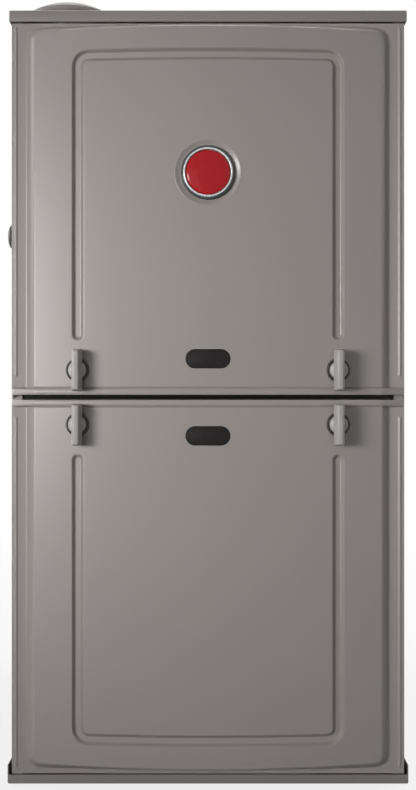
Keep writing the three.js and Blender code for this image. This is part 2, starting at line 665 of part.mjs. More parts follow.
// A squirrel-cage wheel about +Z: hub, back plate, front ring and a ring of blades between them.
function cageWheel({ radius, depth, blades, eye, plate, hub }) {
  const bladeDepth = radius - eye;
  const blade = (i) => box(eye + 1, radius - 0.5, -0.6, 0.6, 0.5, depth - 0.5)
    .translate([-eye - bladeDepth / 2, 0, 0])
    .rotate([0, 0, 35])
    .translate([eye + bladeDepth / 2, 0, 0])
    .rotate([0, 0, i * 360 / blades]);
  const ring = (z0, z1) => cut(rod('z', 0, 0, radius, z0, z1, 24), rod('z', 0, 0, eye, z0 - 1, z1 + 1, 24));
  return join(
    ring(0, 2),
    ring(depth - 2, depth),
    rod('z', 0, 0, radius - 2, plate, plate + 2, 24),
    rod('z', 0, 0, hub.radius, hub.from, hub.to, 16),
    ...Array.from({ length: blades }, (_, i) => blade(i)),
  );
}

function inducerWheel() {
  const wheel = cageWheel({
    radius: 50, depth: 40, blades: 10, eye: 36, plate: 38, hub: { radius: 9, from: 24, to: 40 },
  });
  return towardsFront(join(wheel, rod('z', 0, 0, 4, 24, 58, 12)));
}

function inducerMotor() {
  return cut(
    join(rod('y', 0, 0, 40, -330, INDUCER_FRONT - GAP), rod('y', 0, 0, 12, -334, -329, 16)),
    rod('y', 0, 0, 5, -297, INDUCER_FRONT, 12),
  );
}

const FLUE_BOTTOM = INDUCER.z + BOOT.top + GAP;
const FLUE_TOP = 876;

function fluePipe() {
  return cut(
    join(
      rod('z', 0, 0, FLUE.radius, FLUE_BOTTOM, FLUE_TOP, 20),
      rod('z', 0, 0, BOOT.half - 0.5, FLUE_BOTTOM, FLUE_BOTTOM + 2, 20),
    ),
    rod('z', 0, 0, FLUE.radius - SHEET, FLUE_BOTTOM - 1, FLUE_TOP + 1, 20),
  );
}

const VENT_CAP = { outer: 45, inner: 42.8, dome: 90, top: 890.4, wall: 2, bottom: CABINET_HEIGHT + 0.4 };

function ventCap() {
  const centre = VENT_CAP.top - VENT_CAP.dome;
  const arc = (radius, reach) => [0, 0.4, 0.75, 1].map((part) => {
    const r = reach * part;
    return [r, centre + Math.sqrt(radius ** 2 - r ** 2)];
  });
  return turned([
    ...arc(VENT_CAP.dome - VENT_CAP.wall, VENT_CAP.inner),
    [VENT_CAP.inner, VENT_CAP.bottom], [VENT_CAP.outer, VENT_CAP.bottom],
    ...arc(VENT_CAP.dome, VENT_CAP.outer).reverse(),
  ]);
}

const BURNER_Z = PASSES[0];
const BURNER_BOX = { half: 152, front: -287, back: VESTIBULE_Y - GAP, bottom: 500, top: 580 };
const BURNER = { front: -280, back: -205 };

function burnerBox() {
  const { half, front, back, bottom, top } = BURNER_BOX;
  const ports = BURNER_XS.map((x) => rod('y', x, BURNER_Z, TUBE_RADIUS - 2, back - 3, back + 1));
  const wells = [-1, 1].map((side) => rod('z', side * SENSOR_X, SENSOR_Y, 4, bottom - 1, bottom + 3, 12));
  return cut(
    box(-half, half, front, back, bottom, top),
    box(-half + SHEET, half - SHEET, front - 1, back - SHEET, bottom + SHEET, top - SHEET),
    ...ports,
    ...wells,
  );
}

const SENSOR_X = 1.5 * PITCH;
const SENSOR_Y = -195;

// In-shot burner: bell mouth, throat and flame head round an open bore, on a foot that stands in the burner box.
function burner() {
  const reach = BURNER.back - BURNER.front;
  const tubeShape = turned([
    [12.5, 0], [8, 14], [8, 40], [13, 52], [15, reach], [17, reach], [17, 60], [15, 50],
    [10, 40], [10, 14], [14.5, 0], [12.5, 0],
  ], 10);
  const body = towardsFront(tubeShape.rotate([180, 0, 0])).translate([0, BURNER.front, 0]);
  const foot = box(-6, 6, -252, -240, BURNER_BOX.bottom + SHEET + GAP - BURNER_Z, -9);
  return join(body, foot);
}

const MANIFOLD_Y = -303;
const RISER_X = 168;
const VALVE = { x0: 136, x1: 204, front: -318, back: -270, bottom: 592, top: 648 };
const KNOB = { x: 155, z: 620, radius: 13, thick: 5, bar: 6, proud: 12 };

function gasManifold() {
  const spuds = BURNER_XS.map((x) => rod('y', x, BURNER_Z, 5, MANIFOLD_Y, -284, 8));
  return join(
    rod('x', MANIFOLD_Y, BURNER_Z, 10, -136, RISER_X + 12, 12),
    rod('z', RISER_X, MANIFOLD_Y, 10, BURNER_Z, VALVE.bottom - GAP, 12),
    ...spuds,
  );
}

function gasValve() {
  const { x0, x1, front, back, bottom, top } = VALVE;
  const middle = (front + back) / 2;
  return join(
    box(x0, x1, front, back, bottom, top),
    rod('z', x0 + 18, middle, 14, top - 1, top + 22, 20),
    box(x0 + 38, x1 - 4, middle - 14, middle + 14, top - 1, top + 14),
    rod('x', middle, (bottom + top) / 2, 15, x1 - 1, x1 + 10, 20),
  );
}

function gasValveKnob() {
  const bar = rounded(0, 0, KNOB.bar, 2 * KNOB.radius - 2, 2);
  return join(rod('y', 0, 0, KNOB.radius, -KNOB.thick, 0, 24), extrude('y', bar, -KNOB.proud, 1 - KNOB.thick));
}

function sensorRod(radius) {
  const bottom = BURNER_BOX.bottom;
  return join(
    box(-6, 6, -5, 5, bottom - 12, bottom - GAP),
    rod('z', 0, 0, radius, bottom - 1, bottom + 27, 10),
  );
}

const ROLLOUT = { x: -80, y: -240, radius: 9, height: 10, button: 3, bore: 3.5 };

function rolloutSwitch() {
  const { radius, height, bore } = ROLLOUT;
  const base = BURNER_BOX.top + GAP;
  return cut(rod('z', 0, 0, radius, base, base + height, 20), rod('z', 0, 0, bore, base + 3.5, base + 11, 12));
}

function rolloutButton() {
  return rod('z', 0, 0, ROLLOUT.button, BURNER_BOX.top + 6, BURNER_BOX.top + 14, 12);
}

const HOSE = { y: -245, port: 85, switchX: 75, switchBottom: 756 };
const PRESSURE_SWITCH_Z = 800;

function pressureSwitch() {
  return join(
    rod('y', 0, 0, 33, -262, -234, 20),
    box(-20, 20, -262, COLLECTOR.back, 31, 35),
    rod('z', 0, HOSE.y, 3, HOSE.switchBottom - PRESSURE_SWITCH_Z, -30, 12),
  );
}

function pressureHose() {
  const corners = [
    [INDUCER.x + HOSE.port + GAP, HOSE.y, INDUCER.z],
    [HOSE.switchX, HOSE.y, INDUCER.z],
    [HOSE.switchX, HOSE.y, HOSE.switchBottom - GAP],
  ];
  return tube(bentRoute(corners, 28, 6), 4, 0, 8);
}

const heating = group([0, 0, 0],
  ...BURNER_XS.map((x, i) => piece(`heat_tube_${i + 1}`, 'aluminised', heatTube(), [x, 0, 0])),
  piece('collector_box', 'aluminised', collectorBox()),
  group([INDUCER.x, 0, INDUCER.z],
    piece('inducer_housing', 'iron', inducerHousing()),
    piece('inducer_wheel', 'galvanised', inducerWheel(), [0, -235, 0]),
    piece('inducer_motor', 'iron', inducerMotor()),
  ),
  piece('flue_pipe', 'galvanised', fluePipe(), [FLUE.x, FLUE.y, 0]),
  piece('vent_cap', 'paint', ventCap(), [FLUE.x, FLUE.y, 0]),
  piece('burner_box', 'aluminised', burnerBox()),
  ...BURNER_XS.map((x, i) => piece(`burner_${i + 1}`, 'aluminised', burner(), [x, 0, BURNER_Z])),
  piece('gas_manifold', 'iron', gasManifold()),
  piece('gas_valve', 'casting', gasValve()),
  piece('gas_valve_knob', 'red', gasValveKnob(), [KNOB.x, VALVE.front - GAP, KNOB.z]),
  piece('igniter', 'ceramic', sensorRod(3), [SENSOR_X, SENSOR_Y, 0]),
  piece('flame_sensor', 'ceramic', sensorRod(2), [-SENSOR_X, SENSOR_Y, 0]),
  piece('rollout_switch', 'black', rolloutSwitch(), [ROLLOUT.x, ROLLOUT.y, 0]),
  piece('rollout_button', 'red', rolloutButton(), [ROLLOUT.x, ROLLOUT.y, 0]),
  piece('pressure_switch', 'black', pressureSwitch(), [HOSE.switchX, 0, PRESSURE_SWITCH_Z]),
  piece('pressure_hose', 'foam', pressureHose()),
);

// ---------------------------------------------------------------------------------------------------------------
// Blower section. The blower is drawn about its shaft, which lies along X.
// ---------------------------------------------------------------------------------------------------------------

const HOUSING_TOP = DECK_Z - GAP - BLOWER.z;
const MOTOR = { radius: 67.5, from: -165, to: -40 };

function blowerProfile(grow, top) {
  const spiral = scroll(BLOWER.inner, BLOWER.outer, SCROLL_CUTOFF, 360, 18, grow);
  return outline([...spiral, [BLOWER.outer + grow, top], [spiral[0][0] - 0.7 * grow, top]]);
}

function blowerHousing() {
  const throatFront = blowerProfile(0, 0)[0].x;
  const foot = (from, to) => box(-BLOWER.half, BLOWER.half, from, to, HOUSING_TOP - SHEET, HOUSING_TOP);
  return cut(
    join(
      extrude('x', blowerProfile(SHEET, HOUSING_TOP), -BLOWER.half, BLOWER.half),
      foot(throatFront - 26, throatFront),
      foot(BLOWER.outer, BLOWER.outer + 26),
    ),
    extrude('x', blowerProfile(0, HOUSING_TOP + 1), -BLOWER.half + SHEET, BLOWER.half - SHEET),
    rod('x', 0, 0, 115, -BLOWER.half - 1, BLOWER.half + 1, 24),
  );
}

function blowerWheel() {
  const depth = 202;
  const wheel = cageWheel({
    radius: BLOWER.wheel, depth, blades: 15, eye: 106, plate: 100, hub: { radius: 15, from: 84, to: 118 },
  });
  const shaft = rod('z', 0, 0, 6.35, 49, 120, 12);
  return join(wheel, shaft).translate([0, 0, -depth / 2]).rotate([0, 90, 0]);
}

function blowerMotor() {
  return cut(
    join(
      rod('x', 0, 0, MOTOR.radius, MOTOR.from, MOTOR.to, 20),
      rod('x', 0, 0, 20, MOTOR.from - 6, MOTOR.from + 1, 16),
    ),
    rod('x', 0, 0, 7.5, MOTOR.to - 16, MOTOR.to + 1, 12),
  );
}

function motorBracket() {
  const outside = -BLOWER.half - GAP;
  const arm = box(outside - 3.5, outside, -9, 9, MOTOR.radius + 1, 126);
  return join(
    cut(
      rod('x', 0, 0, MOTOR.radius + 2.8, outside - 22, outside, 20),
      rod('x', 0, 0, MOTOR.radius + 0.5, outside - 23, outside + 1, 20),
    ),
    ...[0, 120, 240].map((angle) => arm.rotate([angle, 0, 0])),
  );
}

const PLATE_Y = -246;
const CONTROL_PLATE = { left: -175, right: 95, bottom: 290, top: DECK_Z - GAP, flange: 26 };

function controlPlate() {
  const { left, right, bottom, top, flange } = CONTROL_PLATE;
  return join(
    box(left, right, PLATE_Y, PLATE_Y + SHEET, bottom, top),
    box(left, right, PLATE_Y, PLATE_Y + flange, top - SHEET, top),
  );
}

function controlBoard() {
  const front = PLATE_Y - 9.6;
  const parts = [
    [-50, -26, 16, 330, 352], [-20, 4, 16, 330, 352], [10, 34, 16, 330, 352],
    [-52, 20, 11, 394, 408], [44, 70, 9, 340, 400], [-46, -10, 5, 362, 382],
  ];
  const posts = [[-54, 311], [74, 311], [-54, 409], [74, 409]];
  return join(
    box(-60, 80, front, front + 1.6, 305, 415),
    ...parts.map(([x0, x1, tall, z0, z1]) => box(x0, x1, front - tall, front + 0.5, z0, z1)),
    ...posts.map(([x, z]) => rod('y', x, z, 3, front + 1, PLATE_Y - GAP, 10)),
  );
}

function transformer() {
  const back = PLATE_Y - GAP;
  return join(
    box(-165, -90, back - 30, back, 340, 392),
    box(-152, -103, back - 44, back - 1, 350, 382),
  );
}

const JUNCTION_BOX = { width: 42, front: -317, back: -262, bottom: 322, top: 412, hole: 11 };

function junctionBox() {
  const { width, front, back, bottom, top, hole } = JUNCTION_BOX;
  const shell = (shrink) => box(
    -INSIDE_HALF + shrink, -INSIDE_HALF + width - shrink, front + shrink, back - shrink,
    bottom + shrink, top - shrink);
  const middle = (front + back) / 2;
  return cut(shell(0), shell(SHEET), rod('z', -INSIDE_HALF + width / 2, middle, hole, bottom - 2, bottom + 4, 20));
}

const PLUNGER = { radius: 3, bore: 3.4, back: -305, stop: -300 };

function interlockSwitch() {
  const { x, z } = INTERLOCK;
  return cut(
    join(
      box(x - 12, x + 12, -317, -285, z - 9, z + 9),
      box(x - 6, x + 6, -298, -295, z + 8, DECK_Z - GAP),
    ),
    rod('y', x, z, PLUNGER.bore, -318, PLUNGER.stop, 12),
  );
}

const blower = group([0, 0, 0],
  group([0, BLOWER.y, BLOWER.z],
    piece('blower_housing', 'galvanised', blowerHousing()),
    piece('blower_wheel', 'galvanised', blowerWheel()),
    piece('blower_motor', 'iron', blowerMotor()),
    piece('motor_bracket', 'galvanised', motorBracket()),
  ),
  piece('control_plate', 'galvanised', controlPlate()),
  piece('control_board', 'board', controlBoard()),
  piece('transformer', 'iron', transformer()),
  piece('junction_box', 'galvanised', junctionBox()),
  piece('interlock_switch', 'black', interlockSwitch()),
  piece('interlock_plunger', 'ceramic',
    rod('y', INTERLOCK.x, INTERLOCK.z, PLUNGER.radius, INTERLOCK.tip, PLUNGER.back, 12)),
);

const furnace = group([0, 0, 0], cabinet, upperDoorGroup, lowerDoorGroup, heating, blower);

export default furnace;
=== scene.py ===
# %% [markdown]
# An upflow forced air furnace stands as a tall painted steel cabinet with two bowed doors. The working
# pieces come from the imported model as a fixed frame. This lesson adds the looks round it: finely
# stamped doors, latches, glass, folded sheet with soft bends, and a finish for every surface.

# %% Load the frame
import json
import math

import bpy
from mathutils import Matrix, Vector


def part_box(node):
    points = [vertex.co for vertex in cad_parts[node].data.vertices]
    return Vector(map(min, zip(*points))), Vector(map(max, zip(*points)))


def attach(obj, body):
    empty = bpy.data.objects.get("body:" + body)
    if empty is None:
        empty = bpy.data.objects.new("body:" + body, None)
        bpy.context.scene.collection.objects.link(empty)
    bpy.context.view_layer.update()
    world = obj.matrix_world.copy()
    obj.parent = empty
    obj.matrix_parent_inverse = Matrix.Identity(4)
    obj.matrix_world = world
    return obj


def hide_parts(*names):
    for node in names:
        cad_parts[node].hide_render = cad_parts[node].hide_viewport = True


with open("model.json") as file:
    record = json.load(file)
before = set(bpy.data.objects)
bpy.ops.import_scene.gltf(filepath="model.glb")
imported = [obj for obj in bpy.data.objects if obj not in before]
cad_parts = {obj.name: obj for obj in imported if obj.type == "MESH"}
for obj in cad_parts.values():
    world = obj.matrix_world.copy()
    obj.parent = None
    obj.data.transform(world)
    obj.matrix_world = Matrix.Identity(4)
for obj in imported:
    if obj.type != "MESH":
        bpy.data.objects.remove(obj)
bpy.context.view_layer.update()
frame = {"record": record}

# %% [markdown]
# All lengths below are real millimetres, turned to metres when a piece is finished. The plane of the
# door rims is the reference for every height on a door, so it is read from the frame instead of being
# typed in.

# %% Driving dimensions
MM = 0.001
SHEET = 1.2
PANEL_RAISE, PANEL_BOW, STRIP_PROUD = 10.0, 17.0, 1.0
CROWN = PANEL_RAISE + PANEL_BOW


def node_box(node):
    low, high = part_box(node)
    return [v / MM for v in low], [v / MM for v in high]


door_low, door_high = node_box("upper_door")
DOOR_HALF = door_high[0]
RIM_Y = door_low[1] + CROWN + STRIP_PROUD
print("door rims at y =", round(RIM_Y, 2), "mm, half width", round(DOOR_HALF, 2), "mm")

# %% [markdown]
# The photograph was taken square to the doors, with the horizon at mid height. At the door rims one
# pixel of its 790 rows is 1.116 mm. How the ends of the bowed doors curve puts the eye 1.5 metres ahead
# of them. Those three facts fix the lens.

# %% Camera
IMAGE_HEIGHT = 790
PIXEL_MM = 1.1159
EYE_AHEAD = 1500.0
EYE_HEIGHT = 434.0
SENSOR = 36.0

eye = bpy.data.cameras.new("eye")
eye.sensor_width = SENSOR
eye.lens = SENSOR * EYE_AHEAD / (IMAGE_HEIGHT * PIXEL_MM)
camera = bpy.data.objects.new("camera", eye)
camera.location = (0.0, (RIM_Y - EYE_AHEAD) * MM, EYE_HEIGHT * MM)
camera.rotation_euler = (math.radians(90), 0.0, 0.0)
bpy.context.scene.collection.objects.link(camera)
bpy.context.scene.camera = camera
bpy.context.scene.view_settings.view_transform = "Standard"
print("lens", round(eye.lens, 2), "mm")

# %% [markdown]
# A material is a small network of nodes. One function adds a node with its settings and its links, and
# one turns the sRGB hex values that a paint chart gives into the linear numbers that a shader needs.

# %% Node helpers
def linear(code):
    parts = [int(code[i:i + 2], 16) / 255 for i in (1, 3, 5)]
    return [c / 12.92 if c <= 0.04045 else ((c + 0.055) / 1.055) ** 2.4 for c in parts] + [1.0]


def add(tree, kind, sockets=None, **settings):
    made = tree.nodes.new(kind)
    for name, value in settings.items():
        setattr(made, name, value)
    for name, value in (sockets or {}).items():
        if isinstance(value, bpy.types.NodeSocket):
            tree.links.new(value, made.inputs[name])
        else:
            made.inputs[name].default_value = value
    return made


def new_tree(name):
    material = bpy.data.materials.new(name)
    material.use_nodes = True
    material.node_tree.nodes.clear()
    return material, material.node_tree


def object_place(tree):
    return add(tree, "ShaderNodeTexCoord").outputs["Object"]


def per_metre(size_mm):
    return 1000.0 / size_mm


def noise(tree, place, size_mm, detail=2.0):
    sockets = {"Vector": place, "Scale": per_metre(size_mm), "Detail": detail}
    return add(tree, "ShaderNodeTexNoise", sockets).outputs["Fac"]


def spread(tree, factor, low, high, start=0.3, end=0.7):
    sockets = {"Value": factor, "From Min": start, "From Max": end, "To Min": low, "To Max": high}
    return add(tree, "ShaderNodeMapRange", sockets).outputs["Result"]


def larger(tree, first, second):
    return add(tree, "ShaderNodeMath", {0: first, 1: second}, operation="MAXIMUM").outputs[0]


def blend_colour(tree, factor, first, second):
    mixer = add(tree, "ShaderNodeMix", {"Factor": factor}, data_type="RGBA")
    for socket, colour in ((mixer.inputs[6], first), (mixer.inputs[7], second)):
        if isinstance(colour, bpy.types.NodeSocket):
            tree.links.new(colour, socket)
        else:
            socket.default_value = colour
    return mixer.outputs[2]


def surface(tree, sockets, bump=None, depth_mm=0.05, strength=0.5):
    if bump is not None:
        relief = {"Height": bump, "Distance": depth_mm * MM, "Strength": strength}
        sockets["Normal"] = add(tree, "ShaderNodeBump", relief).outputs["Normal"]
    shader = add(tree, "ShaderNodeBsdfPrincipled", sockets)
    add(tree, "ShaderNodeOutputMaterial", {"Surface": shader.outputs["BSDF"]})


print("node helpers ready")

# %% [markdown]
# The cabinet is cold-rolled steel with a baked satin enamel, a warm mid grey. Under a raking light such
# paint shows orange peel about 2 mm across and a few hundredths of a millimetre deep, and over a hand's
# width its tone and gloss wander by a percent or two. That is enough to keep a large flat panel from
# looking like plastic.

# %% Cabinet paint
def satin_enamel(name, pale, dark, rough):
    material, tree = new_tree(name)
    place = object_place(tree)
    peel = noise(tree, place, 2.4)
    surface(tree, {
        "Base Color": blend_colour(tree, noise(tree, place, 170.0, 1.0), linear(dark), linear(pale)),
        "Roughness": spread(tree, noise(tree, place, 140.0, 0.0), rough - 0.01, rough + 0.01, 0.0, 1.0),
        "Metallic": 0.04,
        "Specular IOR Level": 0.45,
    }, peel, depth_mm=0.03, strength=0.25)
    return material


cabinet_enamel = satin_enamel("baked_enamel_warm_grey", "#a69f9b", "#a19a96", 0.34)
# The cap, the floor pan and the vent cover take a darker copy of this same enamel: painted shade, for the
# shade on the cap's front strip and the pan's lip.
enamel_painted_shade = satin_enamel("baked_enamel_trim_grey", "#948d89", "#8f8884", 0.36)
heat_enamel = satin_enamel("heat_enamel_black", "#2e2f31", "#242527", 0.45)
motor_enamel = satin_enamel("motor_enamel_black", "#303236", "#26282b", 0.38)
print("enamels:", cabinet_enamel.name, heat_enamel.name, motor_enamel.name)

# %% [markdown]
# Hot-dip galvanising freezes into spangles: zinc crystals 5 to 12 mm across, each reflecting a slightly
# different grey. Cells of a Voronoi pattern have that shape, and one random grey for each cell sets
# both the tone and the roughness. Aluminised steel is duller, with a fine mottle instead of spangles.

# %% Bare sheet metals
def galvanised_sheet():
    material, tree = new_tree("galvanised_spangle")
    place = object_place(tree)
    cells = add(tree, "ShaderNodeTexVoronoi", {"Vector": place, "Scale": per_metre(9.0), "Randomness": 1.0})
    shade = add(tree, "ShaderNodeSeparateColor", {"Color": cells.outputs["Color"]}).outputs["Red"]
    soft = noise(tree, place, 1.2)
    surface(tree, {
        "Base Color": blend_colour(tree, shade, linear("#9ba0a3"), linear("#bdc1c3")),
        "Roughness": spread(tree, shade, 0.3, 0.48, 0.0, 1.0),
        "Metallic": 0.9,
    }, soft, depth_mm=0.02, strength=0.3)
    return material


def aluminised_sheet():
    material, tree = new_tree("aluminised_dull")
    place = object_place(tree)
    mottle = noise(tree, place, 4.0, 4.0)
    surface(tree, {
        "Base Color": blend_colour(tree, mottle, linear("#85857f"), linear("#a6a6a1")),
        "Roughness": spread(tree, noise(tree, place, 14.0, 3.0), 0.42, 0.58),
        "Metallic": 0.85,
    }, noise(tree, place, 0.9), depth_mm=0.02, strength=0.3)
    return material


def cast_metal(name, pale, dark, metallic, rough, grain_mm):
    material, tree = new_tree(name)
    place = object_place(tree)
    surface(tree, {
        "Base Color": blend_colour(tree, noise(tree, place, 18.0, 4.0), linear(dark), linear(pale)),
        "Roughness": spread(tree, noise(tree, place, 6.0, 3.0), rough - 0.06, rough + 0.08),
        "Metallic": metallic,
    }, noise(tree, place, grain_mm, 3.0), depth_mm=0.12, strength=0.4)
    return material


galvanised = galvanised_sheet()
aluminised = aluminised_sheet()
die_cast = cast_metal("die_cast_aluminium", "#bfc1c1", "#aaacac", 0.85, 0.42, 1.1)
black_iron = cast_metal("black_iron_pipe", "#37383a", "#27282a", 0.5, 0.55, 0.9)
laminations = cast_metal("varnished_laminations", "#3a3532", "#272423", 0.4, 0.45, 0.8)
print("metals:", galvanised.name, aluminised.name, die_cast.name, black_iron.name)

# %% [markdown]
# Moulded nylon and acetal carry the fine spark-eroded grain of their mould, about 0.4 mm, and shine
# softly through it. Glossy resin and polycarbonate are smooth, so only their colour drifts a little.
# Foam rubber is matt and pitted, and unglazed ceramic is chalky.

# %% Plastics, rubber and ceramic
def moulded(name, pale, dark, rough, grain_mm=0.4, depth_mm=0.02):
    material, tree = new_tree(name)
    place = object_place(tree)
    surface(tree, {
        "Base Color": blend_colour(tree, noise(tree, place, 12.0, 3.0), linear(dark), linear(pale)),
        "Roughness": spread(tree, noise(tree, place, 5.0, 3.0), rough - 0.04, rough + 0.05),
    }, noise(tree, place, grain_mm, 1.0), depth_mm=depth_mm, strength=0.5)
    return material


latch_nylon = moulded("moulded_nylon_grey", "#b9b5b1", "#b0aca8", 0.38)
black_nylon = moulded("moulded_nylon_black", "#1f1f20", "#171718", 0.42)
seal_foam = moulded("closed_cell_foam", "#1b1b1b", "#101010", 0.9, 1.4, 0.3)
red_acetal = moulded("moulded_acetal_red", "#b8191f", "#a51318", 0.35)
white_acetal = moulded("moulded_acetal_white", "#e9e6de", "#dedad0", 0.4)
ceramic = moulded("unglazed_ceramic", "#ebe7dd", "#dcd6c9", 0.75, 0.8, 0.06)
print("plastics:", latch_nylon.name, black_nylon.name, seal_foam.name)

# %% [markdown]
# The badge is a pool of clear resin over red paint, domed by its own surface tension: a coloured base
# under a clear coat. The sight windows are smoked polycarbonate, so dark that they read as black glass
# with a soft shine.

# %% Gloss finishes
def glossy(name, pale, dark, rough, specular, coat):
    material, tree = new_tree(name)
    place = object_place(tree)
    surface(tree, {
        "Base Color": blend_colour(tree, noise(tree, place, 9.0, 2.0), linear(dark), linear(pale)),
        "Roughness": spread(tree, noise(tree, place, 6.0, 2.0), rough - 0.02, rough + 0.02),
        "Specular IOR Level": specular,
        "Coat Weight": coat,
        "Coat Roughness": 0.05,
    })
    return material


def satin_chrome_plate():
    material, tree = new_tree("satin_chrome")
    place = object_place(tree)
    surface(tree, {
        "Base Color": blend_colour(tree, noise(tree, place, 15.0), linear("#d9dddd"), linear("#e4e7e7")),
        "Roughness": spread(tree, noise(tree, place, 3.0, 3.0), 0.24, 0.32),
        "Metallic": 0.35,
        "Specular IOR Level": 0.2,
    })
    return material


red_resin = glossy("domed_resin_red", "#c4101c", "#b90d18", 0.22, 0.08, 0.3)
smoked = glossy("smoked_polycarbonate", "#242121", "#1e1b1b", 0.28, 0.12, 0.08)
# The bezel's outer slope is chrome painted dark: a painted reflection of the dish wall in shade.
chrome_painted_dark = glossy("black_chrome", "#4c5253", "#404647", 0.22, 0.3, 0.2)
satin_chrome = satin_chrome_plate()
print("gloss:", red_resin.name, smoked.name, satin_chrome.name)

# %% [markdown]
# A circuit board is glass epoxy under a green solder mask. Under the mask the copper lies as slightly
# paler lines and pads, here a brick pattern of 4 by 2 mm, so it reads as tracks without drawing any
# real circuit.

# %% Circuit board
def solder_mask():
    material, tree = new_tree("green_solder_mask")
    place = object_place(tree)
    upright = add(tree, "ShaderNodeMapping", {"Vector": place, "Rotation": (math.radians(90), 0, 0)})
    tracks = add(tree, "ShaderNodeTexBrick", {
        "Vector": upright.outputs["Vector"], "Scale": per_metre(8.0), "Mortar Size": 0.012,
        "Color1": linear("#1d6a40"), "Color2": linear("#226f45"), "Mortar": linear("#3c8a5c"),
    })
    surface(tree, {"Base Color": tracks.outputs["Color"], "Coat Weight": 0.4,
                   "Roughness": spread(tree, noise(tree, place, 4.0), 0.3, 0.4)})
    return material


circuit_board = solder_mask()
print("board:", circuit_board.name)

# %% [markdown]
# Every new piece starts as a primitive in millimetres and is shaped in edit mode. These helpers hold
# the moves that come back: a block with softened edges, a profile spun about an axis, a pipe swept
# along a route, and cutting one shape from another. The last one finishes a piece: it turns it to
# metres, smooths it and lets it ride on its body.

# %% Modelling helpers
AXES = {"x": (1, 0, 0), "y": (0, 1, 0), "z": (0, 0, 1)}
MERGE_DISTANCE = 0.001


def span(first, second):
    return sorted((first, second))


def deselect():
    if bpy.context.object and bpy.context.object.mode != "OBJECT":
        bpy.ops.object.mode_set(mode="OBJECT")
    bpy.ops.object.select_all(action="DESELECT")


def pick(piece):
    deselect()
    piece.select_set(True)
    bpy.context.view_layer.objects.active = piece


def apply(piece, kind, **settings):
    pick(piece)
    modifier = piece.modifiers.new(kind.title(), kind)
    for name, value in settings.items():
        setattr(modifier, name, value)
    bpy.ops.object.modifier_apply(modifier=modifier.name)
    return piece


def tidy_shell(piece):
    pick(piece)
    bpy.ops.object.mode_set(mode="EDIT")
    bpy.ops.mesh.select_all(action="SELECT")
    bpy.ops.mesh.remove_doubles(threshold=MERGE_DISTANCE)
    bpy.ops.mesh.dissolve_degenerate(threshold=MERGE_DISTANCE)
    bpy.ops.mesh.normals_make_consistent(inside=False)
    bpy.ops.object.mode_set(mode="OBJECT")
    return piece


def soften(piece, radius, segments=2, angle=40):
    return apply(piece, "BEVEL", width=radius, segments=segments, limit_method="ANGLE",
                 angle_limit=math.radians(angle))


def block(x0, x1, y0, y1, z0, z1, radius=0.0, segments=2):
    deselect()
    bpy.ops.mesh.primitive_cube_add(size=1, location=((x0 + x1) / 2, (y0 + y1) / 2, (z0 + z1) / 2))
    piece = bpy.context.object
    piece.scale = (x1 - x0, y1 - y0, z1 - z0)
    bpy.ops.object.transform_apply(location=True, rotation=False, scale=True)
    return soften(piece, radius, segments) if radius else piece


def box_block(low, high, radius=0.0, segments=2):
    """A block that fills a box given by its low and its high corner."""
    return block(low[0], high[0], low[1], high[1], low[2], high[2], radius, segments)


def spun(axis, centre, profile, steps=48):
    """A closed profile of (radius, along) points, spun a full turn about an axis through centre."""
    places = {"x": lambda r, t: (t, r, 0), "y": lambda r, t: (r, t, 0), "z": lambda r, t: (r, 0, t)}
    deselect()
    bpy.ops.mesh.primitive_circle_add(vertices=len(profile), radius=1)
    piece = bpy.context.object
    for vertex, (radius, along) in zip(piece.data.vertices, profile):
        vertex.co = places[axis](radius, along)
    bpy.ops.object.mode_set(mode="EDIT")
    bpy.ops.mesh.select_all(action="SELECT")
    bpy.ops.mesh.spin(steps=steps, angle=math.tau, center=(0, 0, 0), axis=AXES[axis])
    tidy_shell(piece)
    for vertex in piece.data.vertices:
        vertex.co += Vector(centre)
    return piece


def rod(axis, centre, radius, start, end, edge=0.5, steps=32):
    bulge = edge * 0.3
    return spun(axis, centre, [
        (0, start), (radius - edge, start), (radius - bulge, start + bulge), (radius, start + edge),
        (radius, end - edge), (radius - bulge, end - bulge), (radius - edge, end), (0, end),
    ], steps)


def ring(axis, centre, inner, outer, start, end, edge=0.3, steps=48):
    return spun(axis, centre, [
        (inner, start), (outer - edge, start), (outer, start + edge), (outer, end - edge),
        (outer - edge, end), (inner, end),
    ], steps)


def pipe(points, radius, bend=0.0, sides=16, bend_steps=6):
    """A round bar swept along straight runs whose corners are rounded to a bend radius."""
    route = [Vector(points[0])]
    for before, corner, after in zip(points, points[1:], points[2:]):
        before, corner, after = Vector(before), Vector(corner), Vector(after)
        enter, leave = (before - corner).normalized(), (after - corner).normalized()
        half = enter.angle(leave) / 2
        reach = min(bend / math.tan(half), (before - corner).length / 2, (after - corner).length / 2)
        centre = corner + (enter + leave).normalized() * reach / math.cos(half)
        start, end = corner + enter * reach - centre, corner + leave * reach - centre
        arc = [centre + start.slerp(end, i / bend_steps) for i in range(bend_steps + 1)]
        route += [point for point in arc if (point - route[-1]).length > 0.01]
    route.append(Vector(points[-1]))
    curve = bpy.data.curves.new("route", "CURVE")
    curve.dimensions, curve.fill_mode = "3D", "FULL"
    curve.bevel_depth, curve.bevel_resolution, curve.use_fill_caps = radius, sides // 4 - 1, True
    spline = curve.splines.new("POLY")
    spline.points.add(len(route) - 1)
    for point, place in zip(spline.points, route):
        point.co = (*place, 1)
    piece = bpy.data.objects.new("route", curve)
    bpy.context.scene.collection.objects.link(piece)
    pick(piece)
    bpy.ops.object.convert(target="MESH")
    return tidy_shell(bpy.context.object)


def join(*pieces):
    pick(pieces[0])
    for other in pieces[1:]:
        other.select_set(True)
    bpy.ops.object.join()
    return bpy.context.object


def cut(piece, *cutters):
    for cutter in cutters:
        apply(piece, "BOOLEAN", operation="DIFFERENCE", object=cutter, solver="EXACT")
        bpy.data.objects.remove(cutter)
    return piece


def moved(piece, x=0.0, y=0.0, z=0.0):
    for vertex in piece.data.vertices:
        vertex.co += Vector((x, y, z))
    return piece


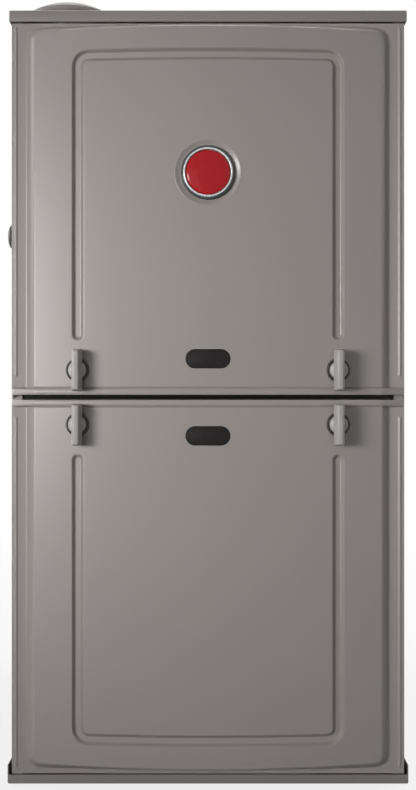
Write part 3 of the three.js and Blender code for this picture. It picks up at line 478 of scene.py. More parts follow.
def copied(piece):
    twin = piece.copy()
    twin.data = piece.data.copy()
    bpy.context.scene.collection.objects.link(twin)
    return twin


def turned(piece, axis, angle):
    first, second = {"x": (1, 2), "y": (0, 2), "z": (0, 1)}[axis]
    for vertex in piece.data.vertices:
        u, v = vertex.co[first], vertex.co[second]
        vertex.co[first] = u * math.cos(angle) - v * math.sin(angle)
        vertex.co[second] = u * math.sin(angle) + v * math.cos(angle)
    return piece


def around(piece, axis, count):
    """One piece repeated in a full circle about an axis through the origin."""
    return join(piece, *[turned(copied(piece), axis, math.tau * i / count) for i in range(1, count)])


def finish(piece, name, material, body, slot, *nodes, smooth=32):
    pick(piece)
    piece.scale = (MM, MM, MM)
    bpy.ops.object.transform_apply(location=True, rotation=True, scale=True)
    if smooth:
        bpy.ops.object.shade_smooth_by_angle(angle=math.radians(smooth))
    piece.name = piece.data.name = name
    piece.data.materials.clear()
    piece.data.materials.append(material)
    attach(piece, body)
    if nodes:
        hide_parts(*nodes)
    return piece


print("modelling helpers ready")

# %% [markdown]
# The floor is pale and the backdrop is the white of the world. Where the camera or a reflection looks
# past the furnace it sees that white, while the light that falls on the furnace is a quiet grey, so the
# lamps shape it. The main softbox stands ahead on the left, about 37 degrees off the doors, which gives
# the latches the soft shadows they have in the photograph. Weaker ones fill the front, and one each
# lights the sides, the back and the top.

# %% Floor, world and lamps
AMBIENT = 0.12
FLOOR_SIZE, FLOOR_DROP = 14.0, 0.0005

world = bpy.data.worlds.new("studio")
world.use_nodes = True
tree = world.node_tree
tree.nodes.clear()
rays = add(tree, "ShaderNodeLightPath").outputs
seen = larger(tree, rays["Is Camera Ray"], rays["Is Glossy Ray"])
seen = larger(tree, seen, rays["Is Transmission Ray"])
level = add(tree, "ShaderNodeMapRange", {"Value": seen, "To Min": AMBIENT, "To Max": 1.0})
sky = add(tree, "ShaderNodeBackground", {"Color": (1, 1, 1, 1), "Strength": level.outputs["Result"]})
add(tree, "ShaderNodeOutputWorld", {"Surface": sky.outputs["Background"]})
bpy.context.scene.world = world

deselect()
bpy.ops.mesh.primitive_plane_add(size=FLOOR_SIZE, location=(0, 0, -FLOOR_DROP))
floor = bpy.context.object
floor.name = "floor"
material, tree = new_tree("pale_floor")
rays = add(tree, "ShaderNodeLightPath").outputs
seen = larger(tree, rays["Is Camera Ray"], rays["Is Glossy Ray"])
matt = add(tree, "ShaderNodeBsdfDiffuse", {"Color": linear("#e6e6e6")})
glow = add(tree, "ShaderNodeEmission", {"Color": (1, 1, 1, 1), "Strength": seen})
reach = add(tree, "ShaderNodeVectorMath", {0: object_place(tree)}, operation="LENGTH").outputs["Value"]
far = spread(tree, reach, 0.8, 1.0, 0.6, 2.4)
both = add(tree, "ShaderNodeMixShader", {0: far, 1: matt.outputs[0], 2: glow.outputs[0]})
add(tree, "ShaderNodeOutputMaterial", {"Surface": both.outputs[0]})
floor.data.materials.append(material)


def softbox(name, place, aim, width, height, watts, spread_degrees=180):
    lamp = bpy.data.lights.new(name, "AREA")
    lamp.shape, lamp.size, lamp.size_y, lamp.energy = "RECTANGLE", width, height, watts
    lamp.spread = math.radians(spread_degrees)
    holder = bpy.data.objects.new(name, lamp)
    holder.location = place
    holder.rotation_euler = (Vector(aim) - Vector(place)).to_track_quat("-Z", "Y").to_euler()
    bpy.context.scene.collection.objects.link(holder)
    return holder


softbox("left_softbox", (-1.6, -2.2, 0.62), (0.05, -0.35, 0.51), 0.95, 0.6, 2.85, 42)
softbox("front_left_card", (-0.8, -3.1, 0.6), (0, -0.35, 0.5), 0.9, 1.2, 2.5)
softbox("right_softbox", (2.3, -1.2, 0.9), (0, -0.3, 0.45), 0.6, 1.6, 2)
softbox("left_side_softbox", (-2.4, 0.7, 1.2), (-0.22, 0.05, 0.45), 1.2, 1.2, 7, 100)
softbox("right_side_softbox", (2.4, 0.9, 1.2), (0.22, 0.05, 0.45), 1.2, 1.2, 9, 100)
softbox("rear_softbox", (0.8, 2.4, 1.8), (0, 0.3, 0.5), 1.6, 1.6, 36)
softbox("top_softbox", (0.0, 0.4, 2.6), (0, 0.2, 0.8), 1.6, 1.6, 18)

# %% [markdown]
# Each door is one sheet, pressed so that a raised panel bows forward, with a strip rolled along the
# joint edge, a shallow channel on three sides and a stiffening bead down each rim. A press rounds every
# bend, so the height of the sheet is written as one function of the place on the door, with an eased
# ramp wherever the steel turns.

# %% Door dimensions
TOE, CREST_HALF = 203.3, 194.3
SIDE_SLOPE, END_SLOPE = 11.4, 9.0
TOE_CORNER = 15.0
END_ARCH = 2.7
STRIP = {"height": 7.0, "crown": 0.9, "step": 1.2, "groove": 1.1, "groove_width": 0.7}
CHANNEL = {"x": 143.7, "stop": 66.5, "corner": 12.0, "floor": 2.5, "half": 7.0, "depth": 4.5}
BEAD = {"x": 214.1, "half": 2.5, "high": 1.3, "ramp": 2.5}
DOORS = {
    "upper": {"joint_z": node_box("upper_door")[0][2], "up": 1, "height": 414.4, "crest": 12.7,
              "channel": 40.2, "bead_from": 19.8},
    "lower": {"joint_z": node_box("lower_door")[1][2], "up": -1, "height": 416.9, "crest": 15.2,
              "channel": 42.3, "bead_from": 18.2},
}


def door_z(door, from_joint):
    return door["joint_z"] + door["up"] * from_joint


def eased(t, soft=0.27):
    t = min(max(t, 0.0), 1.0)
    whole = 2 * soft * (1 - soft)
    if t < soft:
        return t * t / whole
    if t > 1 - soft:
        return 1 - (1 - t) ** 2 / whole
    return (t - soft / 2) / (1 - soft)


def bow(x):
    return PANEL_BOW * (1 - min(abs(x) / CREST_HALF, 1) ** 2)


def channel_distance(x, v, door):
    across, end_run = abs(x), door["height"] - door["channel"]
    turn_x, turn_v = CHANNEL["x"] - CHANNEL["corner"], end_run - CHANNEL["corner"]
    if v < CHANNEL["stop"]:
        return math.hypot(across - CHANNEL["x"], v - CHANNEL["stop"])
    if across > turn_x and v > turn_v:
        return abs(math.hypot(across - turn_x, v - turn_v) - CHANNEL["corner"])
    return min(abs(across - CHANNEL["x"]), abs(v - end_run))


def panel_height(x, v, door):
    across = abs(x)
    end_toe = door["height"] - door["crest"] + END_ARCH * (1 - (across / CREST_HALF) ** 2) + END_SLOPE
    side, end = (TOE - across) * END_SLOPE / SIDE_SLOPE, end_toe - v
    inside = min(side, end)
    if side < TOE_CORNER and end < TOE_CORNER:
        inside = TOE_CORNER - math.hypot(TOE_CORNER - side, TOE_CORNER - end)
    wall = CHANNEL["half"] - CHANNEL["floor"]
    pressed = eased((CHANNEL["half"] - channel_distance(x, v, door)) / wall)
    bead_to = door["height"] - door["crest"] + END_SLOPE
    ends = eased((v - door["bead_from"]) / BEAD["ramp"]) * eased((bead_to - v) / BEAD["ramp"])
    round_top = math.cos(min(abs(across - BEAD["x"]) / BEAD["half"], 1) * math.pi) / 2 + 0.5
    raised = eased(inside / END_SLOPE, 0.2) * (PANEL_RAISE + bow(x))
    return raised - pressed * CHANNEL["depth"] + BEAD["high"] * ends * round_top


def strip_height(x, v):
    shoulder = eased((DOOR_HALF - abs(x)) / (DOOR_HALF - TOE + SIDE_SLOPE), 0.06)
    half = STRIP["height"] / 2
    crown = STRIP["crown"] * (1 - abs((v - half) / half) ** 3.0)
    return shoulder * (PANEL_RAISE + STRIP_PROUD - STRIP["crown"]) + bow(x) + crown * shoulder


def door_height(x, v, door):
    past_strip = v - STRIP["height"]
    step = eased(past_strip / STRIP["step"])
    groove = STRIP["groove"] * math.exp(-((past_strip - STRIP["step"] / 2) / STRIP["groove_width"]) ** 2)
    on_strip = strip_height(x, min(v, STRIP["height"]))
    return (1 - step) * on_strip + step * panel_height(x, v, door) - groove


print("crown of a door:", round(door_height(0, 200, DOORS["upper"]), 2), "mm ahead of its rim")

# %% [markdown]
# A grid of equal squares would waste faces on the smooth field and starve the bends. So a grid
# primitive is added with as many rows and columns as are wanted, and its vertices are moved onto lines
# that crowd together at the bends. Its border is then extruded back for the folded edges, and Solidify
# gives the sheet its thickness inwards.

# %% Pressed door skin
RETURN = {"joint": 5.8, "rim": 8.0}


def crowded(*stretches):
    """Marks along a line, from stretches of (low, high, step)."""
    marks = set()
    for low, high, step in stretches:
        count = max(1, round((high - low) / step))
        marks |= {round(low + (high - low) * i / count, 3) for i in range(count + 1)}
    return sorted(marks)


def door_lines(door):
    end_run, crest = door["height"] - door["channel"], door["height"] - door["crest"]
    bead_low, bead_high = door["bead_from"] - 0.5, door["bead_from"] + 3
    half = crowded(
        (0, 120, 10), (120, 131, 3.7), (131, 151.4, 0.72), (151.4, 190.5, 7.8), (190.5, 204.1, 0.7),
        (204.1, 211.4, 2.4), (211.4, 216.8, 0.45), (216.8, DOOR_HALF, 0.7))
    rows = crowded(
        (0, 1.0, 0.25), (1.0, 6.0, 0.8), (6.0, 9.5, 0.35), (9.5, bead_low, 4),
        (bead_low, bead_high, 0.6), (bead_high, 58.8, 5), (58.8, 67, 0.7), (67, end_run - 20, 11),
        (end_run - 20, end_run + 7.6, 0.72), (end_run + 7.6, crest - 1.4, 5),
        (crest - 1.4, crest + 12.4, 0.7), (crest + 12.4, door["height"], 1.0))
    return sorted({-x for x in half} | set(half)), rows


def door_skin(door):
    xs, vs = door_lines(door)
    deselect()
    bpy.ops.mesh.primitive_grid_add(x_subdivisions=len(xs) - 1, y_subdivisions=len(vs) - 1, size=2)
    skin = bpy.context.object
    border = []
    for vertex in skin.data.vertices:
        column = round((vertex.co.x + 1) / 2 * (len(xs) - 1))
        row = round((vertex.co.y + 1) / 2 * (len(vs) - 1))
        x, v = xs[column], vs[row]
        vertex.co = (x, RIM_Y - door_height(x, v, door), door_z(door, v))
        border.append(column in (0, len(xs) - 1) or row in (0, len(vs) - 1))
    bpy.ops.object.mode_set(mode="EDIT")
    bpy.ops.mesh.select_mode(type="EDGE")
    bpy.ops.mesh.select_all(action="SELECT")
    bpy.ops.mesh.region_to_loop()
    bpy.ops.mesh.extrude_edges_move()
    bpy.ops.object.mode_set(mode="OBJECT")
    for vertex in skin.data.vertices:
        if vertex.select:
            at_joint = abs(vertex.co.z - door["joint_z"]) < 0.01
            vertex.co.y = RIM_Y + RETURN["joint" if at_joint else "rim"]
    return skin


skins = {side: door_skin(door) for side, door in DOORS.items()}
print({side: len(skin.data.polygons) for side, skin in skins.items()}, "faces before thickness")

# %% [markdown]
# With the surface made, the folded corners get a small bend radius, the sheet its thickness, and then
# the holes are punched: two for the latches, one for the sight window, and on the upper door one for
# the badge.

# %% Fold, thicken and punch
LATCH_X, LATCH_FROM_JOINT, LATCH_HOLE = 143.8, 27.25, 13.15
WINDOW = {"from_joint": 39.5, "width": 49.5, "height": 21.4}
BADGE = {"from_joint": 243.9, "hole": 36.0, "floor": 31.0}
PUNCH_AHEAD, PUNCH_BEHIND = -40.0, 4.0


def obround(z, width, height, y0, y1, edge=0.0):
    half = height / 2
    deselect()
    bpy.ops.mesh.primitive_cylinder_add(vertices=48, radius=half, depth=y1 - y0, location=(0, 0, 0))
    piece = bpy.context.object
    for vertex in piece.data.vertices:
        x, up, along = vertex.co
        vertex.co = (x + math.copysign(width / 2 - half, x), (y0 + y1) / 2 - along, z + up)
    tidy_shell(piece)
    return soften(piece, edge, 3, 60) if edge else piece


def punched(skin, door, *extra):
    tidy_shell(skin)
    soften(skin, 1.0, 3, 62)
    apply(skin, "SOLIDIFY", thickness=SHEET, offset=-1.0, use_even_offset=True)
    latch_z = door_z(door, LATCH_FROM_JOINT)
    holes = [rod("y", (x, RIM_Y, latch_z), LATCH_HOLE, PUNCH_AHEAD, PUNCH_BEHIND, 0.1, 48)
             for x in (-LATCH_X, LATCH_X)]
    holes.append(obround(door_z(door, WINDOW["from_joint"]), WINDOW["width"], WINDOW["height"],
                         RIM_Y + PUNCH_AHEAD, RIM_Y))
    return cut(skin, *holes, *extra)


badge_z = door_z(DOORS["upper"], BADGE["from_joint"])
badge_hole = rod("y", (0, RIM_Y, badge_z), BADGE["hole"], PUNCH_AHEAD, PUNCH_BEHIND, 0.1, 96)
finish(punched(skins["upper"], DOORS["upper"], badge_hole), "upper_door_skin", cabinet_enamel, "upper_door",
       "cabinet_paint", "upper_door", smooth=28)
finish(punched(skins["lower"], DOORS["lower"]), "lower_door_skin", cabinet_enamel, "lower_door",
       "cabinet_paint", "lower_door", smooth=28)

# %% [markdown]
# The badge sits in a shallow dish pressed into the panel, with a sloping wall and a rolled lip. The
# dish is spun from its section, then every vertex of its lip is pushed back by as much as the bowed
# panel falls away there, so it lies flush all round.

# %% Badge dish
LIP_RUN = 4.0


def fall(x):
    return PANEL_BOW - bow(x)


dish = spun("y", (0, RIM_Y, badge_z), [
    (0, -CROWN + 2.4), (BADGE["floor"], -CROWN + 2.4), (31.8, -CROWN + 2.2), (34.6, -CROWN + 0.55),
    (35.4, -CROWN + 0.15), (36.3, -CROWN - 0.1), (37.0, -CROWN - 0.06), (37.4, -CROWN + 0.15),
    (37.2, -CROWN + 1.3), (32.0, -CROWN + 3.6), (0, -CROWN + 3.6),
], 96)
for vertex in dish.data.vertices:
    rim_share = eased((math.hypot(vertex.co.x, vertex.co.z - badge_z) - BADGE["floor"]) / LIP_RUN)
    vertex.co.y += fall(vertex.co.x) * rim_share
finish(dish, "badge_dish", cabinet_enamel, "upper_door", "cabinet_paint", smooth=50)
print("dish lip falls back", round(fall(BADGE["hole"]), 2), "mm at its sides")

# %% [markdown]
# In the dish stands a turned chrome bezel. Its outer slope is chrome painted dark: a painted reflection of
# the dish wall in shade. A bright rounded crest round its inner edge catches the light broadly on the left
# and as a thin line on the right. Inside it lies a round badge of domed resin, behind a fine shadow gap.
# The dome is plain.

# %% Badge bezel and dome
badge_at = (0, RIM_Y, badge_z)
bezel = spun("y", badge_at, [
    (27.3, -24.8), (29.6, -24.8), (29.9, -25.4), (29.9, -26.4), (29.5, -27.5), (28.8, -28.5), (28.1, -29.1),
    (27.6, -29.2), (27.3, -29.0),
], 96)
finish(bezel, "badge_bezel_ring", chrome_painted_dark, "upper_door", "badge_chrome", "badge_bezel", smooth=60)
crest = spun("y", badge_at, [
    (24.9, -24.9), (27.3, -24.9), (27.3, -29.1), (27.0, -29.75), (26.4, -30.2), (25.8, -30.25),
    (25.3, -29.9), (25.0, -29.3),
], 96)
finish(crest, "badge_bezel_crest", satin_chrome, "upper_door", "badge_chrome", smooth=60)


def dome(radius, base, top, steps=10):
    rise, angles = top - base, [math.pi / 2 * i / steps for i in range(steps, -1, -1)]
    return [(radius * math.sin(a), -base - rise * math.cos(a) ** 0.85) for a in angles]


badge = spun("y", badge_at, [(0, -25.4), (23.9, -25.4), (24.2, -25.8), *dome(24.2, 27.6, 30.6)], 96)
finish(badge, "badge_dome", red_resin, "upper_door", "red_dome", "badge_disc", smooth=60)
print("badge at z", round(badge_z, 1), "mm")

# %% [markdown]
# A smoked polycarbonate pane fills each obround sight window from behind: a wide flange seats on the
# back of the door and a raised pane with a softened edge comes forward into the hole.

# %% Sight windows
PANE_GAP, FLANGE_LAP = 0.6, 6.5
crown_y = RIM_Y - CROWN

for side, door in DOORS.items():
    z = door_z(door, WINDOW["from_joint"])
    pane = obround(z, WINDOW["width"] - PANE_GAP, WINDOW["height"] - PANE_GAP,
                   crown_y + 0.8, crown_y + 3.6, 0.7)
    flange = obround(z, WINDOW["width"] + FLANGE_LAP, WINDOW["height"] + FLANGE_LAP,
                     crown_y + 2.0, crown_y + 3.9, 0.3)
    finish(join(pane, flange), side + "_sight_pane", smoked, side + "_door", "smoked_window",
           side + "_sight_glass")
    print(side, "window at z", round(z, 1), "mm")

# %% [markdown]
# A quarter-turn latch has a black bush snapped into the door, and a grey moulded piece turning in it: a
# round hub, a handle like a wedge, narrow in front for the fingers, and a shaft with a cam that swings
# behind the middle rail.

# %% Latches
HANDLE = {"root": 12.3, "front_width": 6.0, "height": 46.2, "taper": 1.6, "front": -42.5, "back": -26.5}
CAM = {"front": 10.7, "back": 13.2, "reach": 26.0, "half": 5.0}
HANDS = (("left", -1), ("right", 1))


def latch_bush(x, z):
    return spun("y", (x, RIM_Y, z), [
        (10.4, -12.0), (15.3, -12.0), (15.5, -12.3), (15.5, -13.9), (12.85, -13.9), (12.85, -19.4),
        (12.3, -20.0), (11.2, -20.1), (10.6, -19.7), (10.4, -19.2),
    ], 64)


def latch_handle(x, z, turn):
    half_w, half_h = HANDLE["root"] / 2, HANDLE["height"] / 2
    y0, y1 = RIM_Y + HANDLE["front"], RIM_Y + HANDLE["back"]
    bar = block(x - half_w, x + half_w, y0, y1, z - half_h, z + half_h)
    for vertex in bar.data.vertices:
        if vertex.co.y < (y0 + y1) / 2:
            vertex.co.x = x + (vertex.co.x - x) * HANDLE["front_width"] / HANDLE["root"]
            vertex.co.z = z + (vertex.co.z - z) * (1 - HANDLE["taper"] / half_h)
    soften(bar, 1.3, 4, 30)
    hub = spun("y", (x, RIM_Y, z), [
        (0, -10), (10, -10), (10, -24.6), (9.6, -25.8), (8.6, -26.9), (7.0, -27.5), (0, -27.5),
    ], 64)
    shaft = rod("y", (x, RIM_Y, z), 4.5, -11, CAM["back"], 0.4, 32)
    reach = span(x - turn * CAM["half"], x + turn * CAM["reach"])
    cam = block(*reach, RIM_Y + CAM["front"], RIM_Y + CAM["back"], z - CAM["half"], z + CAM["half"], 1.0, 3)
    return join(bar, hub, shaft, cam)


for side, door in DOORS.items():
    z = door_z(door, LATCH_FROM_JOINT)
    for hand, way in HANDS:
        name = side + "_" + hand + "_latch"
        finish(latch_bush(way * LATCH_X, z), name + "_ring", black_nylon, side + "_door", "black_plastic",
               name + "_bush", smooth=50)
        finish(latch_handle(way * LATCH_X, z, -way), name + "_lever", latch_nylon, name, "latch_plastic",
               name + "_handle", smooth=50)
print("four latches, axes", LATCH_FROM_JOINT, "mm from the joint")

# %% [markdown]
# The cap is a shallow tray of sheet turned down over the cabinet, open over the heat exchanger and
# bored for the vent. Its strip along the front is plain, with small bends and a seam where the folded
# side flanges meet it. The tray is a softened block, hollowed from below, and then cut through for the
# duct and the pipe.

# %% Top cap
cap_low, cap_high = node_box("top_cap")
collar_low, collar_high = node_box("supply_collar")
pipe_low, pipe_high = node_box("flue_pipe")
FLUE = ((pipe_low[0] + pipe_high[0]) / 2, (pipe_low[1] + pipe_high[1]) / 2)
FLUE_RADIUS = 42.0
COLLAR_FOOT = 15.0
duct = (collar_low[0] + COLLAR_FOOT, collar_high[0] - COLLAR_FOOT,
        collar_low[1] + COLLAR_FOOT, collar_high[1] - COLLAR_FOOT)


def screw_head(axis, x, y, z, outward, radius=3.6):
    """A pan head with a hexagonal washer face, standing 1.8 mm out along the axis."""
    return spun(axis, (x, y, z), [
        (0, 0), (radius + 1.3, 0), (radius + 1.2, 0.5 * outward), (radius, 0.7 * outward),
        (radius * 0.92, 1.4 * outward), (radius * 0.6, 1.8 * outward), (0, 1.8 * outward),
    ], 12)


tray = box_block(cap_low, cap_high, 1.8, 4)
inside = block(cap_low[0] + SHEET, cap_high[0] - SHEET, cap_low[1] + SHEET, cap_high[1] - SHEET,
               cap_low[2] - 5, cap_high[2] - SHEET, 1.0, 3)
outlet = block(*duct, cap_low[2], cap_high[2] + 4)
bore = rod("z", (*FLUE, 0), FLUE_RADIUS + 1, cap_low[2], cap_high[2] + 4, 0.1, 64)
cap = cut(tray, inside, outlet, bore)
# The cap takes the darker copy of the cabinet enamel: painted shade.
finish(cap, "cap_tray", enamel_painted_shade, "cabinet", "cabinet_paint", "top_cap")
print("cap", [round(high - low, 1) for low, high in zip(cap_low, cap_high)], "mm")

# %% [markdown]
# A galvanised collar turns up round the outlet, spot-welded at its foot and hemmed along its top edge,
# to take the supply plenum. Sheet-metal screws hold its foot to the cap.

# %% Supply collar
COLLAR_TOP = collar_high[2]
HEM_PROUD, HEM_DEEP = 0.8, 9.0
SCREW_FROM_DUCT = 8.5
foot_top = collar_low[2] + SHEET
foot = box_block(collar_low, (collar_high[0], collar_high[1], foot_top), 0.4)
x0, x1, y0, y1 = duct
wall = block(x0 - SHEET, x1 + SHEET, y0 - SHEET, y1 + SHEET, collar_low[2] + 0.1, COLLAR_TOP - 0.8, 0.3)
grow = SHEET + HEM_PROUD
hem = block(x0 - grow, x1 + grow, y0 - grow, y1 + grow, COLLAR_TOP - HEM_DEEP, COLLAR_TOP, 0.7, 3)
collar = cut(join(foot, wall, hem), block(*duct, collar_low[2] - 3, COLLAR_TOP + 3))
heads = [screw_head("z", x, y, foot_top, 1)
         for x in (x0 - SCREW_FROM_DUCT, x1 + SCREW_FROM_DUCT) for y in (y0 + 40, (y0 + y1) / 2, y1 - 40)]
heads += [screw_head("z", x, y, foot_top, 1)
          for y in (y0 - SCREW_FROM_DUCT, y1 + SCREW_FROM_DUCT) for x in (x0 + 60, 0.0, x1 - 60)]
finish(join(collar, *heads), "duct_collar", galvanised, "cabinet", "galvanised", "supply_collar")
print("collar with", len(heads), "screws")

# %% [markdown]
# The vent comes up through the cap as a crimped pipe, closed for shipping by a domed steel cap. Only
# the dome shows above the cabinet's front edge. A groove at the dome's skirt makes the dark line seen
# there.

# %% Vent pipe and its cap
dome_low, dome_high = node_box("vent_cap")
DOME_OUTER, DOME_INNER, DOME_RADIUS = 45.0, 42.8, 90.0


def dome_arc(radius, reach, steps=12):
    centre = dome_high[2] - DOME_RADIUS
    return [(reach * i / steps, centre + math.sqrt(radius ** 2 - (reach * i / steps) ** 2))
            for i in range(steps + 1)]


outer_arc = dome_arc(DOME_RADIUS, DOME_OUTER - 2.0)
edge_z = outer_arc[-1][1]
cover = spun("z", (*FLUE, 0), [
    *outer_arc, (DOME_OUTER - 0.6, edge_z - 0.7), (DOME_OUTER, edge_z - 2.0), (DOME_OUTER, edge_z - 5.5),
    (DOME_OUTER - 1.0, edge_z - 6.0), (DOME_OUTER - 1.0, edge_z - 7.2), (DOME_OUTER, edge_z - 7.7),
    (DOME_OUTER, dome_low[2] + 0.4), (DOME_OUTER - 0.4, dome_low[2]), (DOME_INNER, dome_low[2]),
    *reversed(dome_arc(DOME_RADIUS - 2, DOME_INNER)),
], 80)
# The vent cover takes the darker copy of the cabinet enamel: painted shade.
finish(cover, "vent_cover", enamel_painted_shade, "vent_cap", "cabinet_paint", "vent_cap", smooth=50)

foot_z, mouth_z = pipe_low[2], pipe_high[2]
vent = spun("z", (*FLUE, 0), [
    (FLUE_RADIUS - SHEET, foot_z), (44.0, foot_z), (44.5, foot_z + 0.6), (44.2, foot_z + 1.8),
    (FLUE_RADIUS, foot_z + 2.4), (FLUE_RADIUS, mouth_z - 30), (FLUE_RADIUS - 0.9, mouth_z - 28.5),
    (FLUE_RADIUS - 0.9, mouth_z - 26.0), (FLUE_RADIUS, mouth_z - 24.5), (FLUE_RADIUS, mouth_z - 0.3),
    (FLUE_RADIUS - 0.3, mouth_z), (FLUE_RADIUS - SHEET, mouth_z),
], 80)
finish(vent, "vent_pipe", galvanised, "cabinet", "galvanised", "flue_pipe", smooth=40)
print("vent at", FLUE, "dome top", round(dome_high[2], 1))

# %% [markdown]
# The pan under the cabinet is a shallow tray with a lower lip in front, its upper corners rounded where
# the flange was trimmed. A return-air opening is left in its floor.

# %% Base pan
pan_low, pan_high = node_box("base_pan")
FRONT_LIP = 10.3
AIR_OPENING = (-165.0, 165.0, -225.0, 295.0)
pan = box_block(pan_low, pan_high, 1.6, 4)
hollow = block(pan_low[0] + SHEET, pan_high[0] - SHEET, pan_low[1] + SHEET, pan_high[1] - SHEET,
               pan_low[2] + SHEET, pan_high[2] + 5, 0.8, 3)
lip = block(pan_low[0] + SHEET, pan_high[0] - SHEET, pan_low[1] - 5, pan_low[1] + 2.4,
            pan_low[2] + FRONT_LIP, pan_high[2] + 5)
air = block(*AIR_OPENING, -5, 5)
# The pan takes the darker copy of the cabinet enamel: painted shade.
finish(cut(pan, hollow, lip, air), "floor_pan", enamel_painted_shade, "cabinet", "cabinet_paint", "base_pan")
print("pan", [round(high - low, 1) for low, high in zip(pan_low, pan_high)], "mm")

# %% [markdown]
# Each side is one sheet folded in at front and back. On its outer face a scored rectangle marks where a
# return duct may be cut in, round knock-outs wait for gas, power and drain, and screws hold it to the
# cap, the pan and the deck.

# %% Side panels
GUIDE = {"front": -245.0, "back": 320.0, "bottom": 40.0, "top": 396.0, "line": 2.0, "deep": 0.5}
FRONT_FLANGE, BACK_FLANGE = 12.0, 20.5
FOLD_DEPTH, CUT_DEPTH, CUT_RUN = 30.0, 40.0, 60.0
PLUG_HOLE, PLUG_PROUD = 11.0, 5.5
PLUG_BEHIND_RIM = {"left": 24.0, "right": 60.0}
DECK_LINE = 431.4


def knock_out(side, face, y, z, radius):
    return spun("x", (face, y, z), [
        (radius - 1.4, -0.4 * side), (radius - 1.0, 0.25 * side), (radius, 0.35 * side),
        (radius + 1.0, 0.25 * side), (radius + 1.4, -0.4 * side),
    ], 40)


def side_panel(side, node, plug_y, plug_z):
    low, high = node_box(node)
    face = high[0] if side > 0 else low[0]
    deep = face - side * CUT_DEPTH
    tall = (low[2] - 2, high[2] + 2)
    web = block(*span(face, face - side * FOLD_DEPTH), low[1], high[1], low[2], high[2], 1.5, 4)
    inside = block(*span(face - side * SHEET, deep), low[1] + SHEET, high[1] - SHEET, *tall, 0.8, 2)
    front_cut = block(*span(face - side * FRONT_FLANGE, deep), low[1] - 2, low[1] + CUT_RUN, *tall)
    back_cut = block(*span(face - side * BACK_FLANGE, deep), high[1] - CUT_RUN, high[1] + 2, *tall)
    hole = rod("x", (face, plug_y, plug_z), PLUG_HOLE, -5, 5, 0.1, 48)
    groove = block(*span(face - GUIDE["deep"], face + GUIDE["deep"]), GUIDE["front"], GUIDE["back"],
                   GUIDE["bottom"], GUIDE["top"])
    field = block(*span(face - 2, face + 2), GUIDE["front"] + GUIDE["line"], GUIDE["back"] - GUIDE["line"],
                  GUIDE["bottom"] + GUIDE["line"], GUIDE["top"] - GUIDE["line"])
    panel = cut(web, inside, front_cut, back_cut, hole, cut(groove, field))
    marks = [knock_out(side, face, y, z, radius) for y, z, radius in (
        (-285, 540, 17), (-270, 500 if side > 0 else 690, 14), (-285, 345, 11), (-240, 455, 17),
        (-290, 455, 11))]
    screws = [screw_head("x", face, y, z, side) for z in (34, DECK_LINE, 838) for y in (-305, 0, 335)]
    return join(panel, *marks, *screws)


for hand, side in HANDS:
    plug_low, plug_high = node_box(hand + "_hole_plug")
    plug_y, plug_z = RIM_Y + PLUG_BEHIND_RIM[hand], (plug_low[2] + plug_high[2]) / 2
    piece = side_panel(side, hand + "_side_panel", plug_y, plug_z)
    finish(piece, hand + "_side_sheet", cabinet_enamel, "cabinet", "cabinet_paint", hand + "_side_panel")
    proud = plug_high[0] if side > 0 else plug_low[0]
    face = proud - side * PLUG_PROUD
    button = spun("x", (face, plug_y, plug_z), [(r, side * t) for r, t in (
        (0, -3.5), (11.2, -3.5), (12.2, -2.4), (12.0, -1.4), (10.7, -1.2), (10.7, 0.3), (13.8, 0.3),
        (14.0, 0.8), (13.6, 1.8), (12.6, 2.9), (10.8, 4.0), (8.0, 4.9), (4.0, 5.4), (0, PLUG_PROUD))], 48)
    finish(button, hand + "_grommet", black_nylon, "cabinet", "black_plastic", hand + "_hole_plug",
           smooth=60)
print("side sheets with guide line", GUIDE["top"] - GUIDE["bottom"], "mm tall")

# %% [markdown]
# The back is a flat sheet held by screws along both folded flanges. Four pressed ribs cross it, because
# a flat sheet this large would drum when the blower starts.

# %% Back panel
RIB = {"long": 170.0, "half": 9.0, "sunk": 0.6, "proud": 1.3}
SCREW_X, SCREW_SUNK = 210.0, 0.4
back_low, back_high = node_box("back_panel")
flange_back = node_box("left_side_panel")[1][1]
sheet = box_block(back_low, back_high, 0.4)
ribs = [block(-RIB["long"], RIB["long"], back_high[1] - RIB["sunk"], back_high[1] + RIB["proud"],
              z - RIB["half"], z + RIB["half"], 1.2, 4) for z in (150, 290, 570, 710)]
screws = [screw_head("y", x, flange_back - SCREW_SUNK, 60 + 125 * i, 1, 3.2)
          for x in (-SCREW_X, SCREW_X) for i in range(7)]
finish(join(sheet, *ribs), "back_sheet", cabinet_enamel, "cabinet", "cabinet_paint", "back_panel")
finish(join(*screws), "back_screws", galvanised, "cabinet", "galvanised")
print(len(ribs), "ribs and", len(screws), "screws on the back")

# %% [markdown]
# Between the doors a rail crosses the cabinet, with a black foam strip against which both doors seal.
# In the closed furnace this foam and the shade in the gap make the black line between them.

# %% Middle rail and its seal
SHELF_Z = 430.8
# The foam is drawn out to the rail's ends, a little past the seal's own ends, as painted shade over the
# rail's ends in the gap.
SEAL_HALF = 205.3
rail_low, rail_high = node_box("mid_rail")
seal_low, seal_high = node_box("door_seal_strip")
front_sheet = box_block(rail_low, (rail_high[0], rail_low[1] + SHEET, rail_high[2]), 0.4)
shelf = block(rail_low[0], rail_high[0], rail_low[1] + 0.2, rail_high[1], SHELF_Z, SHELF_Z + SHEET, 0.4)
finish(join(front_sheet, shelf), "cross_rail", galvanised, "cabinet", "galvanised", "mid_rail")
strip = block(-SEAL_HALF, SEAL_HALF, seal_low[1], seal_high[1], seal_low[2], seal_high[2], 0.9, 3)
finish(strip, "foam_seal", seal_foam, "cabinet", "seal_foam", "door_seal_strip")
print("seal", round(seal_high[2] - seal_low[2], 1), "mm tall")

# %% [markdown]
# Behind the upper door lies the heating section. Its sheet boxes are pressed trays: one face open and
# the rest one thickness of sheet with rounded corners. A face of a block is deleted and Solidify
# thickens what is left inwards, which keeps the wall even round every bend. Odd outlines such as
# scrolls are filled and extruded instead.

